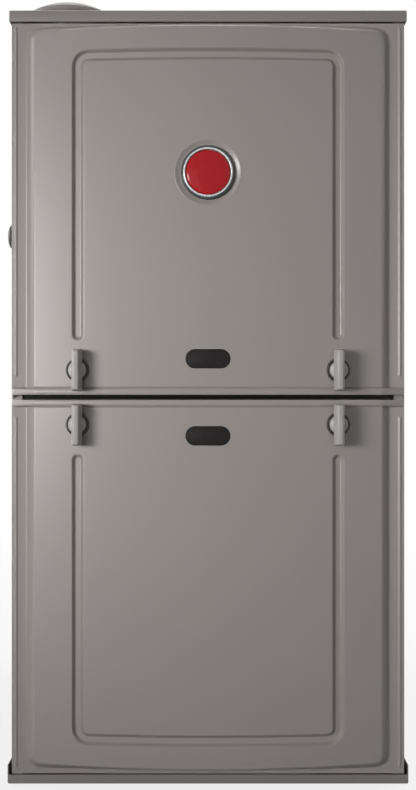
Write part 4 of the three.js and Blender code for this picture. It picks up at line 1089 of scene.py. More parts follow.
# %% Trays, scrolls and hexagons
def open_tray(low, high, axis, side, radius=2.0):
    """A sheet box that fills low to high, open on one side of an axis (0, 1 or 2)."""
    tray = box_block(low, high)
    pick(tray)
    bpy.ops.object.mode_set(mode="EDIT")
    bpy.ops.mesh.select_mode(type="FACE")
    bpy.ops.mesh.select_all(action="DESELECT")
    bpy.ops.object.mode_set(mode="OBJECT")
    for face in tray.data.polygons:
        face.select = face.normal[axis] * side > 0.9
    bpy.ops.object.mode_set(mode="EDIT")
    bpy.ops.mesh.delete(type="FACE")
    bpy.ops.object.mode_set(mode="OBJECT")
    soften(tray, radius, 3, 40)
    return apply(tray, "SOLIDIFY", thickness=SHEET, offset=-1.0, use_even_offset=True)


def extruded(axis, outline, start, end, edge=0.0):
    """An outline in (y, z) for axis x or (x, z) for axis y, filled and extruded from start to end."""
    places = {"x": lambda u, v: (start, u, v), "y": lambda u, v: (u, start, v)}
    deselect()
    bpy.ops.mesh.primitive_circle_add(vertices=len(outline), radius=1, fill_type="NGON")
    shape = bpy.context.object
    for vertex, (u, v) in zip(shape.data.vertices, outline):
        vertex.co = places[axis](u, v)
    bpy.ops.object.mode_set(mode="EDIT")
    bpy.ops.mesh.select_all(action="SELECT")
    reach = [(end - start) * part for part in AXES[axis]]
    bpy.ops.mesh.extrude_region_move(TRANSFORM_OT_translate={"value": reach})
    tidy_shell(shape)
    return soften(shape, edge, 3, 50) if edge else shape


def scroll(u, v, inner, outer, start, end, grow=0.0, steps=40):
    """A spiral outline about (u, v) whose radius grows from inner to outer as it turns, in degrees."""
    turns = [(start + (end - start) * i / steps, inner + (outer - inner) * i / steps + grow)
             for i in range(steps + 1)]
    return [(u + r * math.cos(math.radians(a)), v + r * math.sin(math.radians(a))) for a, r in turns]


def hexagon(axis, centre, across, start, end):
    corner = across / 2 / math.cos(math.pi / 6)
    return rod(axis, centre, corner, start, end, 0.6, 6)


def circle(radius, count, first=0.0):
    """Points spaced evenly round a circle, the first at an angle in degrees."""
    turns = [math.radians(first + 360 / count * i) for i in range(count)]
    return [(radius * math.cos(a), radius * math.sin(a)) for a in turns]


print("trays, scrolls and hexagons ready")

# %% [markdown]
# Four aluminised steel tubes, 42 mm across, carry the burnt gas back and forth through the air stream:
# this is the heat exchanger. A tube bender makes each from one straight length, so it is swept along
# its route with round bends, opened at both ends, and given the bead that swages it into the vestibule
# panel. One is made, then copied.

# %% Heat exchanger
BURNER_XS = (-114.0, -38.0, 38.0, 114.0)
PASSES = (540.0, 612.0, 668.0, 716.0)
TUBE = {"radius": 21.0, "wall": 1.8, "front": -140.0, "back": 300.0, "bend": 40.0}
VESTIBULE_Y = node_box("vestibule_panel")[0][1]

low_pass, second_pass, third_pass, top_pass = PASSES
corners = [(VESTIBULE_Y, low_pass), (TUBE["back"], low_pass), (TUBE["back"], second_pass),
           (TUBE["front"], second_pass), (TUBE["front"], third_pass), (TUBE["back"], third_pass),
           (TUBE["back"], top_pass), (VESTIBULE_Y, top_pass)]
coil = pipe([(0, y, z) for y, z in corners], TUBE["radius"], TUBE["bend"], 28, 10)
for z in (low_pass, top_pass):
    cut(coil, rod("y", (0, VESTIBULE_Y, z), TUBE["radius"] - TUBE["wall"], -2, 120, 0.1, 32))
bead = [(20.5, 1.7), (22.6, 1.7), (23.4, 2.6), (23.4, 3.6), (22.4, 4.8), (20.5, 5.6)]
coil = join(coil, *[spun("y", (0, VESTIBULE_Y, z), bead) for z in (low_pass, top_pass)])
for number, x in enumerate(BURNER_XS, 1):
    finish(moved(copied(coil), x=x), "exchanger_tube_%d" % number, aluminised, "cabinet", "aluminised",
           "heat_tube_%d" % number, smooth=60)
bpy.data.objects.remove(coil)
print(len(BURNER_XS), "tubes of", len(PASSES), "passes")

# %% [markdown]
# At the front the tubes end in a collector box, from which the inducer draws. It is a pressed tray,
# open towards the tubes, with a stiffening pad stamped in its face and screws along its edges where the
# inducer leaves room.

# %% Collector box
INDUCER_X, INDUCER_Z = -112.0, 690.0
INDUCER_EYE = 30.0
box_low, box_high = node_box("collector_box")
collector = open_tray(box_low, box_high, 1, 1, 3.0)
cut(collector, rod("y", (INDUCER_X, box_low[1], INDUCER_Z), INDUCER_EYE, -3, 4, 0.1, 48))
pad = block(14, 136, box_low[1] - 1.5, box_low[1] + 0.4, 664, 724, 1.3, 4)
heads = [screw_head("y", x, box_low[1], z, -1)
         for x in (12, 75, 140) for z in (box_low[2] + 9, box_high[2] - 9)]
finish(join(collector, pad, *heads), "smoke_collector", aluminised, "cabinet", "aluminised",
       "collector_box")
print("collector", round(box_high[0] - box_low[0]), "mm wide with", len(heads), "screws in sight")

# %% [markdown]
# The inducer is a small centrifugal blower in black-enamelled pressed steel. Its scroll widens towards
# a boot that turns up into the vent. Inner shape is cut from outer shape, so the wall is real, and a
# rim of screws and a hose nipple finish it.

# %% Inducer housing
FAN = {"inner": 60.0, "outer": 92.0, "from": 98.0, "to": -180.0, "mouth": INDUCER_Z + 66.0}
BOOT = {"half": 45.0, "bottom": INDUCER_Z + 62.0, "top": INDUCER_Z + 83.0}
RIM_CIRCLE, SHAFT_HOLE = 52.0, 6.0
NIPPLE_Y, NIPPLE_TIP = -245.0, 85.0


def fan_outline(grow):
    spiral = scroll(INDUCER_X, INDUCER_Z, FAN["inner"], FAN["outer"], FAN["from"], FAN["to"], grow)
    left, right = INDUCER_X - FAN["outer"] - grow, spiral[0][0] + grow
    return [*spiral, (left, FAN["mouth"]), (right, FAN["mouth"])]


def boot(shrink, radius):
    half = BOOT["half"] - shrink
    return block(FLUE[0] - half, FLUE[0] + half, FLUE[1] - half, FLUE[1] + half, BOOT["bottom"] + shrink,
                 BOOT["top"] - shrink, radius, 3)


housing_front, housing_back = -284.0, box_low[1] - 0.3
housing = extruded("y", fan_outline(SHEET), housing_front, housing_back, 3.0)
housing = join(housing, boot(0, 3.0))
throat = block(INDUCER_X - FAN["outer"], INDUCER_X - 9, housing_front + SHEET, housing_back - SHEET,
               BOOT["bottom"] - 2, BOOT["bottom"] + 3)
cut(housing, extruded("y", fan_outline(0), housing_front + SHEET, housing_back - SHEET),
    boot(SHEET, 0), throat,
    rod("z", (*FLUE, 0), FLUE_RADIUS - SHEET, BOOT["top"] - 3, BOOT["top"] + 1, 0.1, 48),
    rod("y", (INDUCER_X, 0, INDUCER_Z), INDUCER_EYE, housing_back - 3, housing_back + 1, 0.1, 48),
    rod("y", (INDUCER_X, 0, INDUCER_Z), SHAFT_HOLE, housing_front - 1, housing_front + 3, 0.1, 24))
nipple = spun("x", (INDUCER_X, NIPPLE_Y, INDUCER_Z), [
    (0, 71.6), (5, 71.6), (5, 74), (3, 74.5), (3, 76), (2.4, 78), (3, 78.2), (2.4, 80.4), (3, 80.6),
    (2.2, 84.4), (1.4, NIPPLE_TIP), (0, NIPPLE_TIP)], 24)
rim = [screw_head("y", INDUCER_X + u, housing_front, INDUCER_Z + v, -1, 2.4)
       for u, v in circle(RIM_CIRCLE, 6, 20)]
finish(join(housing, nipple, *rim), "inducer_scroll", heat_enamel, "cabinet", "inducer_paint",
       "inducer_housing")
print("inducer housing", round(housing_back - housing_front, 1), "mm deep")

# %% [markdown]
# A squirrel-cage wheel is a ring of narrow curved blades crimped between two rings, and a plate that
# carries them from the hub. The section of one blade is an arc with thickness. It is extruded, then
# copied round the wheel, because one good blade repeated is what the real wheel is.

# %% Squirrel-cage wheels
INDUCER_WHEEL = {"radius": 50.0, "eye": 36.0, "back": -235.0, "deep": 40.0, "blades": 30}


def curved_blade(axis, eye, radius, start, end, lean, thick=0.8, steps=5):
    def point(t, offset):
        r = eye + (radius - eye) * t
        angle = math.radians(lean) * (t ** 1.7) + offset / r
        return r * math.cos(angle), r * math.sin(angle)
    front = [point(i / steps, thick / 2) for i in range(steps + 1)]
    back = [point(i / steps, -thick / 2) for i in range(steps, -1, -1)]
    return extruded(axis, front + back, start, end)


wheel_low, wheel_high = node_box("inducer_wheel")
inner, outer, back = (INDUCER_WHEEL[key] for key in ("eye", "radius", "back"))
front = back - INDUCER_WHEEL["deep"]
origin = (0, 0, 0)
blade = curved_blade("y", inner, outer - 0.4, front + 0.5, back - 0.5, 9)
fan = join(
    around(blade, "y", INDUCER_WHEEL["blades"]),
    ring("y", origin, inner, outer, back - 1.6, back, 0.5, 72),
    ring("y", origin, 4, outer - 0.2, front, front + 1.4, 0.5, 72),
    rod("y", origin, 9, front, front + 16, 1.0, 32),
    rod("y", origin, 4, wheel_low[1], front + 16, 0.5, 24),
)
finish(moved(fan, x=INDUCER_X, z=INDUCER_Z), "inducer_fan", galvanised, "inducer_wheel", "galvanised",
       "inducer_wheel", smooth=40)
print("inducer fan", round(wheel_high[1] - wheel_low[1], 1), "mm long with its shaft")

# %% [markdown]
# The motor that turns it is a black can with a domed end. Radial slots in the end and a row round the
# can let its own cooling fan breathe, and four long through-bolts clamp it to the housing.

# %% Inducer motor
BOLT_CIRCLE, END_SLOTS, WALL_SLOTS = 34.0, 14, 16
can = spun("y", (INDUCER_X, 0, INDUCER_Z), [
    (0, -334), (10.5, -334), (12, -332.8), (12, -329.6), (30, -329.6), (35.5, -328.4), (38.6, -325.6),
    (40, -321), (40, -312), (39.2, -311.4), (39.2, -310), (40, -309.4), (40, -287.4), (39, -286),
    (39, -284.3), (5, -284.3), (5, -297), (0, -297)], 72)
end_slot = block(17, 30, -332, -326.5, -2, 2, 1.2, 2)
wall_slot = block(37, 42, -306, -291, -2.2, 2.2, 1.2, 2)
vents = join(around(end_slot, "y", END_SLOTS), around(wall_slot, "y", WALL_SLOTS))
cut(can, moved(vents, x=INDUCER_X, z=INDUCER_Z))
bolts = [hexagon("y", (INDUCER_X + u, 0, INDUCER_Z + v), 6, -331.6, -327.5)
         for u, v in circle(BOLT_CIRCLE, 4, 45)]
finish(join(can, *bolts), "inducer_motor_can", motor_enamel, "cabinet", "motor_shell", "inducer_motor",
       smooth=40)
print("inducer motor 80 mm across")

# %% [markdown]
# The burner box is a shelf of aluminised sheet, open in front, with a port for each tube. Four in-shot
# burners stand in it: each is one tube with a bell mouth, a narrow throat and a flared head, which a
# spin of its section gives in a single surface, and a folded foot.

# %% Burner box and burners
SENSOR_Y = -195.0
BURNER_Z, BURNER_MOUTH = PASSES[0], -280.0
PORT_RADIUS, WELL_RADIUS = 19.0, 4.0
box_low, box_high = node_box("burner_box")
shelf_box = open_tray(box_low, box_high, 1, -1, 1.6)
ports = [rod("y", (x, box_high[1], BURNER_Z), PORT_RADIUS, -3, 2, 0.1, 40) for x in BURNER_XS]
wells = [rod("z", (x, SENSOR_Y, box_low[2]), WELL_RADIUS, -1, 3, 0.1, 24)
         for x in (BURNER_XS[0], BURNER_XS[-1])]
cut(shelf_box, *ports, *wells)
heads = [screw_head("z", x, y, box_high[2], 1, 2.6) for x, y in (
    (-140, -205), (-38, -205), (-38, -272), (38, -205), (38, -272), (140, -205))]
finish(join(shelf_box, *heads), "burner_shelf", aluminised, "cabinet", "aluminised", "burner_box")

burner_floor = node_box("burner_1")[0][2]
torch = spun("y", (0, BURNER_MOUTH, BURNER_Z), [
    (12.6, 0.3), (10.6, 4), (9.0, 9), (8.2, 14), (8, 20), (8, 38), (9.0, 43), (12.2, 49), (13.2, 53),
    (15, 74.6), (16, 75), (17, 74.4), (17, 62), (16.6, 59.6), (15.3, 52), (13.6, 47), (10.6, 41.4),
    (10, 38), (10, 16), (10.8, 11), (12.6, 5), (14.4, 0.8), (14.0, 0), (13.2, -0.1)], 40)
foot = block(-6, 6, -251, -241, burner_floor, BURNER_Z - 9, 0.5)
toe = block(-6, 6, -262, -241, burner_floor, burner_floor + 1.0, 0.3)
torch = join(torch, foot, toe)
for number, x in enumerate(BURNER_XS, 1):
    finish(moved(copied(torch), x=x), "inshot_burner_%d" % number, aluminised, "cabinet", "aluminised",
           "burner_%d" % number, smooth=50)
bpy.data.objects.remove(torch)
print("burner box", round(box_high[0] - box_low[0]), "mm wide with", len(BURNER_XS), "burners")

# %% [markdown]
# Gas comes along a black iron manifold. The pipe is 20 mm outside and bends up to the valve, a hexagon
# plug closes its end, and a turned brass orifice faces each burner. Brass needs a finish of its own:
# warm, bright and slightly uneven.

# %% Gas manifold and orifices
brass = cast_metal("turned_brass", "#cda75a", "#b8934a", 0.95, 0.3, 0.7)
PIPE_RADIUS, PIPE_BEND, RISER_X, MANIFOLD_Y = 10.0, 26.0, 168.0, -303.0
valve_low, valve_high = node_box("gas_valve")
bar_end = (node_box("gas_manifold")[0][0], MANIFOLD_Y, BURNER_Z)
riser_end = (RISER_X, MANIFOLD_Y, valve_low[2] - 0.3)
bar = pipe([bar_end, (RISER_X, MANIFOLD_Y, BURNER_Z), riser_end], PIPE_RADIUS, PIPE_BEND, 28, 12)
plug = hexagon("x", bar_end, 21, 0.5, 12)
nut = hexagon("z", riser_end, 22, -13, -1)
bosses = [spun("y", (x, MANIFOLD_Y, BURNER_Z), [(0, 4), (9, 4), (8, 11.4), (7.2, 12), (0, 12)], 32)
          for x in BURNER_XS]
finish(join(bar, plug, nut, *bosses), "manifold_pipe", black_iron, "cabinet", "gas_pipe", "gas_manifold",
       smooth=45)
nose = [(1.0, 15), (4.0, 15), (4.0, 17.5), (2.4, 19), (1.0, 19)]
orifices = [join(hexagon("y", (x, MANIFOLD_Y, BURNER_Z), 9.5, 12.2, 16),
                 spun("y", (x, MANIFOLD_Y, BURNER_Z), nose, 24)) for x in BURNER_XS]
finish(join(*orifices), "brass_orifices", brass, "cabinet", "gas_pipe", smooth=40)
print("manifold with", len(orifices), "orifices")

# %% [markdown]
# The gas valve is a die casting: a body with rounded corners, a capped regulator tower, a solenoid
# housing and a hexagon inlet boss. Its red knob turns a quarter turn between on and off, and has a
# ribbed skirt so fingers hold.

# %% Gas valve and knob
INLET_Z = 620.0
body_top = 648.0
middle = (valve_low[1] + valve_high[1]) / 2
valve_face = valve_low[1]
casting = block(136, 204, valve_low[1], valve_high[1], valve_low[2], body_top, 3.0, 4)
shoulder = block(141, 199, valve_low[1] + 5, valve_high[1] - 5, body_top - 3, body_top + 2.5, 2.0, 3)
tower = spun("z", (154, middle, body_top), [
    (0, -1), (15.5, -1), (15.5, 2.5), (14, 3.6), (14, 12), (12.8, 12.6), (12.8, 13.4), (14, 14),
    (14, 20.6), (12.8, 22), (4.6, 22), (4.2, 20.8), (0, 20.8)], 48)
solenoid = block(174, 200, middle - 14, middle + 14, body_top - 1, body_top + 14, 2.4, 3)
boss = join(hexagon("x", (0, middle, INLET_Z), 29.5, 203, 211),
            ring("x", (0, middle, INLET_Z), 9, 13.5, 205, 214, 0.8))
taps = [hexagon("y", (188, 0, z), 7.5, valve_face - 1.6, valve_face + 1) for z in (604, 636)]
screws = [screw_head("y", x, valve_face + 0.4, z, -1, 2.2) for x in (141.5, 198.5) for z in (597.5, 642.5)]
finish(join(casting, shoulder, tower, solenoid, boss), "valve_casting", die_cast, "cabinet", "die_cast",
       "gas_valve", smooth=40)
finish(join(*taps, *screws), "valve_fasteners", brass, "cabinet", "die_cast", smooth=40)

RIB_COUNT = 24
knob_low, knob_high = node_box("gas_valve_knob")
KNOB_X, KNOB_Z = (knob_low[0] + knob_high[0]) / 2, (knob_low[2] + knob_high[2]) / 2
knob_front, knob_back = knob_low[1], knob_high[1]
skirt = spun("y", (0, knob_back, 0), [
    (0, 0), (12.2, 0), (12.6, -0.5), (12.6, -3.8), (11.6, -4.8), (8, -5.0), (0, -5.0)], 60)
ribs = around(block(11.9, 13.0, knob_back - 4.2, knob_back - 0.4, -0.7, 0.7, 0.4, 2), "y", RIB_COUNT)
grip = block(-3.2, 3.2, knob_front, knob_back - 4, -11.6, 11.6, 1.6, 4)
pointer = block(-0.7, 0.7, knob_front - 2, knob_front + 0.7, 3.5, 9.5)
dial = cut(join(skirt, ribs, grip), pointer)
finish(moved(dial, x=KNOB_X, z=KNOB_Z), "valve_knob", red_acetal, "gas_valve_knob", "knob_red",
       "gas_valve_knob")
print("valve", round(valve_high[0] - valve_low[0]), "mm wide, knob at", round(KNOB_X), round(KNOB_Z))

# %% [markdown]
# A hot-surface igniter and a flame sensor stand up through the floor of the burner box. Both are a
# white ceramic block on a small plate, the igniter with a dark silicon carbide tip and the sensor with
# a thin steel rod.

# %% Igniter and flame sensor
carbide = cast_metal("silicon_carbide", "#3b3a3c", "#2a292b", 0.1, 0.7, 0.5)
heat_steel = cast_metal("heat_tinted_steel", "#8f867c", "#6f675f", 0.9, 0.38, 0.8)
for node, radius, rod_finish in (("igniter", 3.0, carbide), ("flame_sensor", 1.6, heat_steel)):
    base_low, base_high = node_box(node)
    x = (base_low[0] + base_high[0]) / 2
    floor_z = box_low[2] - 0.3
    body = block(x - 6, x + 6, SENSOR_Y - 5, SENSOR_Y + 5, base_low[2], floor_z - 1.4, 1.2, 3)
    collar = rod("z", (x, SENSOR_Y, 0), 3.2, floor_z - 2, floor_z + 5, 0.6, 24)
    finish(join(body, collar), node + "_ceramic", ceramic, "cabinet", "ceramic", node)
    tip = rod("z", (x, SENSOR_Y, 0), radius - 0.3, floor_z + 4, base_high[2], 0.9, 20)
    plate = block(x - 5.8, x + 5.8, SENSOR_Y - 4.8, SENSOR_Y + 4.8, floor_z - 1.3, floor_z, 0.2)
    finish(join(tip, plate), node + "_rod", rod_finish, "cabinet", "ceramic")
print("igniter at", BURNER_XS[-1], "and flame sensor at", BURNER_XS[0])

# %% [markdown]
# On top of the burner box sits the flame roll-out switch: a black moulded cup with two spade terminals,
# and a small red button in its middle that is pressed to reset it.

# %% Roll-out switch and its button
switch_low, switch_high = node_box("rollout_switch")
ROLL_X, ROLL_Y = (switch_low[0] + switch_high[0]) / 2, (switch_low[1] + switch_high[1]) / 2
base, top = switch_low[2], switch_high[2]
cup = spun("z", (ROLL_X, ROLL_Y, 0), [
    (0, base), (8.9, base), (9, base + 0.6), (9, base + 5), (7.6, base + 5.6), (7.6, top - 0.8),
    (6.9, top), (3.5, top), (3.5, base + 3.5), (0, base + 3.5)], 48)
finish(cup, "rollout_cup", black_nylon, "cabinet", "black_plastic", "rollout_switch", smooth=40)
spades = [block(*span(ROLL_X + s * 9, ROLL_X + s * 15), ROLL_Y - 3, ROLL_Y + 3, base + 2.4, base + 3.2, 0.2)
          for s in (-1, 1)]
finish(join(*spades), "rollout_spades", galvanised, "cabinet", "galvanised")
foot_z, tip_z = (corner[2] for corner in node_box("rollout_button"))
button = spun("z", (ROLL_X, ROLL_Y, 0), [
    (0, foot_z), (2.9, foot_z), (2.9, tip_z - 1.4), (2.4, tip_z - 0.5), (1.4, tip_z - 0.1), (0, tip_z)], 32)
finish(button, "rollout_reset", red_acetal, "rollout_button", "knob_red", "rollout_button", smooth=50)
print("roll-out reset stands", round(tip_z - top, 1), "mm proud")

# %% [markdown]
# The pressure switch proves that the inducer draws. It is two black mouldings crimped round a
# diaphragm, on a bent bracket, with a barbed port. An 8 mm silicone hose runs from that port down and
# across to the inducer's nipple.

# %% Pressure switch and hose
SWITCH_X, SWITCH_Z, SWITCH_FRONT, PORT_Z = 75.0, 800.0, -262.0, 756.0
LUG_SPREAD = 13.0
HOSE_RADIUS, HOSE_BEND, HOSE_GAP = 4.0, 28.0, 0.3
drum = spun("y", (SWITCH_X, 0, SWITCH_Z), [
    (0, SWITCH_FRONT), (9, SWITCH_FRONT), (9.6, -261.4), (9.6, -258.4), (20, -257.6), (27.6, -256.4),
    (29, -254.6), (29, -251.6), (32.6, -251.2), (33, -250.6), (33, -246.4), (32.6, -245.8),
    (29, -245.4), (29, -237), (27.6, -234.8), (24, -234), (0, -234)], 72)
lugs = [block(x - 3.2, x + 3.2, -261.6, -256, 799.4, 800.2, 0.2)
        for x in (SWITCH_X - LUG_SPREAD, SWITCH_X + LUG_SPREAD)]
barb = spun("z", (SWITCH_X, NIPPLE_Y, 0), [
    (0, 771), (5, 771), (5, 768), (3, 767.4), (3, 765.5), (2.4, 763.5), (3, 763.3), (2.4, 761),
    (3, 760.8), (2.0, 756.6), (1.3, PORT_Z), (0, PORT_Z)], 24)
finish(join(drum, barb), "pressure_drum", black_nylon, "cabinet", "black_plastic", "pressure_switch",
       smooth=40)
bracket = join(block(55, 95, SWITCH_FRONT, box_high[1] - 40.5, 831.2, 832.8, 0.4),
               block(57, 93, SWITCH_FRONT, -260.6, 826, 832.6, 0.4))
finish(join(bracket, *lugs), "pressure_bracket", galvanised, "cabinet", "galvanised")
hose_start = INDUCER_X + NIPPLE_TIP + HOSE_GAP
hose = pipe([(hose_start, NIPPLE_Y, INDUCER_Z), (SWITCH_X, NIPPLE_Y, INDUCER_Z),
             (SWITCH_X, NIPPLE_Y, PORT_Z - HOSE_GAP)], HOSE_RADIUS, HOSE_BEND, 20, 12)
finish(hose, "silicone_hose", black_nylon, "cabinet", "seal_foam", "pressure_hose", smooth=60)
print("hose from", round(hose_start, 1), "to", SWITCH_X)

# %% [markdown]
# Screws show that the vestibule panel and the blower deck are sheets fixed at their edges. Their own
# solids are right already, so only the screws are new.

# %% Vestibule and deck screws
deck_top = node_box("blower_deck")[1][2]
panel_low, panel_high = node_box("vestibule_panel")
panel_rows = (panel_low[2] + 30, (panel_low[2] + panel_high[2]) / 2, panel_high[2] - 25)
heads = [screw_head("y", x, panel_low[1], z, -1, 3.0) for x in (-208, 208) for z in panel_rows]
heads += [screw_head("z", x, y, deck_top, 1, 3.0) for x in (-200, 200) for y in (-270, -225, 0, 180, 340)]
finish(join(*heads), "sheet_screws", galvanised, "cabinet", "galvanised")
print(len(heads), "screws in vestibule and deck")

# %% [markdown]
# Below the deck hangs the blower. Its scroll is galvanised sheet whose edge is folded over the two side
# plates, and a spun inlet ring curves into each eye. The inner scroll is cut out of the outer one, the
# folded seam is a thin band round the outline, and the rings are spun.

# %% Blower housing
BLOWER_Y, BLOWER_Z = 60.0, 215.0
SCROLL = {"inner": 144.0, "outer": 198.0, "from": 110.0, "to": 360.0, "half": 127.0, "eye": 115.0}
SEAM_WIDTH, SEAM_PROUD, FOOT_LENGTH = 4.0, 2.4, 26.0
housing_top = node_box("blower_housing")[1][2]


def blower_outline(grow, top):
    spiral = scroll(BLOWER_Y, BLOWER_Z, SCROLL["inner"], SCROLL["outer"], SCROLL["from"], SCROLL["to"],
                    grow, 56)
    return [*spiral, (BLOWER_Y + SCROLL["outer"] + grow, top), (spiral[0][0] - 0.7 * grow, top)]


half = SCROLL["half"]
case = extruded("x", blower_outline(SHEET, housing_top), -half, half)
throat_front = blower_outline(0, housing_top)[0][0]
throat_back = BLOWER_Y + SCROLL["outer"]
feet = [block(-half, half, y, y + FOOT_LENGTH, housing_top - SHEET, housing_top, 0.3)
        for y in (throat_front - FOOT_LENGTH, throat_back)]
case = join(case, *feet)
eyes = rod("x", (0, BLOWER_Y, BLOWER_Z), SCROLL["eye"], -half - 1, half + 1, 0.1, 96)
cut(case, extruded("x", blower_outline(0, housing_top + 1), -half + SHEET, half - SHEET), eyes)
seams = []
for side in (-1, 1):
    edge = span(side * half, side * (half - SEAM_WIDTH))
    band = extruded("x", blower_outline(SEAM_PROUD, housing_top - 2), *edge, 0.5)
    core = extruded("x", blower_outline(SHEET - 0.2, housing_top + 4), edge[0] - 1, edge[1] + 1)
    seams.append(cut(band, core))
    seams.append(spun("x", (0, BLOWER_Y, BLOWER_Z), [(r, side * t) for r, t in (
        (117, half), (114.6, half - 0.6), (111, half - 4), (109, half - 9), (108.2, half - 15),
        (107.2, half - 15), (107.8, half - 8.6), (110, half - 3), (114, half), (117, half - 1.1))], 96))
finish(join(case, *seams), "blower_scroll", galvanised, "cabinet", "galvanised", "blower_housing",
       smooth=40)
print("blower housing", round(2 * half), "mm wide, top at", round(housing_top, 1))

# %% [markdown]
# The wheel inside is double: two rows of 44 blades share one plate in the middle, which a hub clamps to
# the motor's shaft. The blade comes from the same function as the inducer's, because only its sizes
# differ.

# %% Blower wheel
WHEEL = {"radius": 127.0, "eye": 106.0, "half": 101.0, "blades": 44}
SHAFT_RADIUS, SHAFT_FROM = 6.35, -52.0
rows, rings = [], []
for side in (-1, 1):
    ends = span(side * 0.9, side * (WHEEL["half"] - 0.6))
    blade = curved_blade("x", WHEEL["eye"], WHEEL["radius"] - 0.6, *ends, 8)
    rows.append(around(blade, "x", WHEEL["blades"]))
    ends = span(side * WHEEL["half"], side * (WHEEL["half"] - 2))
    rings.append(ring("x", origin, WHEEL["eye"], WHEEL["radius"], *ends, 0.8, 96))
plate = spun("x", origin, [
    (15, -1), (60, -1), (64, -3), (88, -3), (92, -1), (126, -1), (126, 1), (92, 1), (88, -1),
    (64, -1), (60, 1), (15, 1)], 96)
hub = rod("x", origin, 15, -17, 17, 1.2, 40)
grub = hexagon("z", (-9, 0, 0), 8, 13, 18)
shaft = rod("x", origin, SHAFT_RADIUS, SHAFT_FROM, 19, 0.8, 24)
runner = join(*rows, *rings, plate, hub, grub, shaft)
finish(moved(runner, y=BLOWER_Y, z=BLOWER_Z), "blower_runner", galvanised, "blower_wheel", "galvanised",
       "blower_wheel", smooth=40)
print("blower wheel with", 2 * WHEEL["blades"], "blades")

# %% [markdown]
# The motor reaches into the left eye of the housing, held by a clamped band with three arms. It is a
# black can with domed ends, rolled grooves and vents, from LEFT to RIGHT. The band closes with a bolt,
# which is what lets a motor be changed.

# %% Blower motor and bracket
LEFT, RIGHT = -165.0, -40.0
MOTOR_BOLTS, MOTOR_SLOTS, MOTOR_WALL_SLOTS = 56.0, 16, 20
BAND = {"inner": 68.0, "outer": 70.2, "wide": 22.0}
can = spun("x", origin, [
    (0, LEFT - 6), (18.6, LEFT - 6), (20, LEFT - 4.8), (20, LEFT), (50, LEFT + 0.5), (60, LEFT + 3),
    (65.4, LEFT + 8), (67.5, LEFT + 15), (67.5, LEFT + 16), (66.4, LEFT + 17), (66.4, LEFT + 19),
    (67.5, LEFT + 20), (67.5, RIGHT - 20), (66.4, RIGHT - 19), (66.4, RIGHT - 17), (67.5, RIGHT - 16),
    (67.5, RIGHT - 12), (65, RIGHT - 6), (60, RIGHT - 2), (52, RIGHT), (7.5, RIGHT), (7.5, RIGHT - 16),
    (0, RIGHT - 16)], 96)
end_slots = [block(x - 7, x + 7, -2.5, 2.5, 30, 52, 2.0, 2) for x in (LEFT, RIGHT)]
wall_slot = block(LEFT + 22, LEFT + 40, -2.5, 2.5, 62, 72, 2.0, 2)
vents = [around(slot, "x", MOTOR_SLOTS) for slot in end_slots]
cut(can, join(*vents, around(wall_slot, "x", MOTOR_WALL_SLOTS)))
bolts = [hexagon("x", (0, u, v), 8, LEFT - 2.5, LEFT + 4) for u, v in circle(MOTOR_BOLTS, 4, 45)]
finish(moved(join(can, *bolts), y=BLOWER_Y, z=BLOWER_Z), "blower_motor_can", motor_enamel, "cabinet",
       "motor_shell", "blower_motor", smooth=40)

outside = -half - 0.3
band = ring("x", origin, BAND["inner"], BAND["outer"], outside - BAND["wide"], outside, 0.5, 96)
arms = []
for angle in (0, 120, 240):
    arm = block(outside - 3.4, outside - 0.1, -9, 9, 69, 125.5, 1.2, 3)
    rib = block(outside - 6.4, outside - 3.2, -2.5, 2.5, 72, 112, 1.2, 3)
    head = screw_head("x", outside - 3.4, 0, 119, -1, 3.4)
    arms.append(turned(join(arm, rib, head), "x", math.radians(angle)))
ears = [block(outside - 18, outside - 4, y - 1.1, y + 1.1, -84, -69, 0.6) for y in (-4, 4)]
bolt_at = (outside - 11, 0, -78)
bolt = join(rod("y", bolt_at, 2.4, -12, 9, 0.5, 20), hexagon("y", bolt_at, 8, 5.2, 10))
finish(moved(join(band, *arms, *ears, bolt), y=BLOWER_Y, z=BLOWER_Z), "motor_cradle", galvanised, "cabinet",
       "galvanised", "motor_bracket", smooth=40)
print("motor", round(RIGHT - LEFT), "mm long in a band with", len(arms), "arms")

# %% [markdown]
# The control board stands on four nylon posts. Its parts are what a service engineer would look for:
# three power relays, a row of terminals, a plug, a few capacitors, a fuse and an indicator. Each kind
# of part is modelled once and repeated over a list of places, and their tops follow the frame's own
# solids.

# %% Control board
BOARD = (-60.0, 80.0, 305.0, 415.0)
BOARD_FRONT, BOARD_THICK = -255.6, 1.6
POST_END = -246.4
RELAY_XS = (-50, -20, 10)
TERMINAL_XS = [-48 + 9 * i for i in range(8)]
LEG_XS = [-46 + 2.7 * i for i in range(1, 8)]


def on_board(x0, x1, height, z0, z1, radius=0.0, segments=2):
    """A block that stands on the board, its foot sunk 0.2 mm into it."""
    return block(x0, x1, BOARD_FRONT - height, BOARD_FRONT + 0.2, z0, z1, radius, segments)


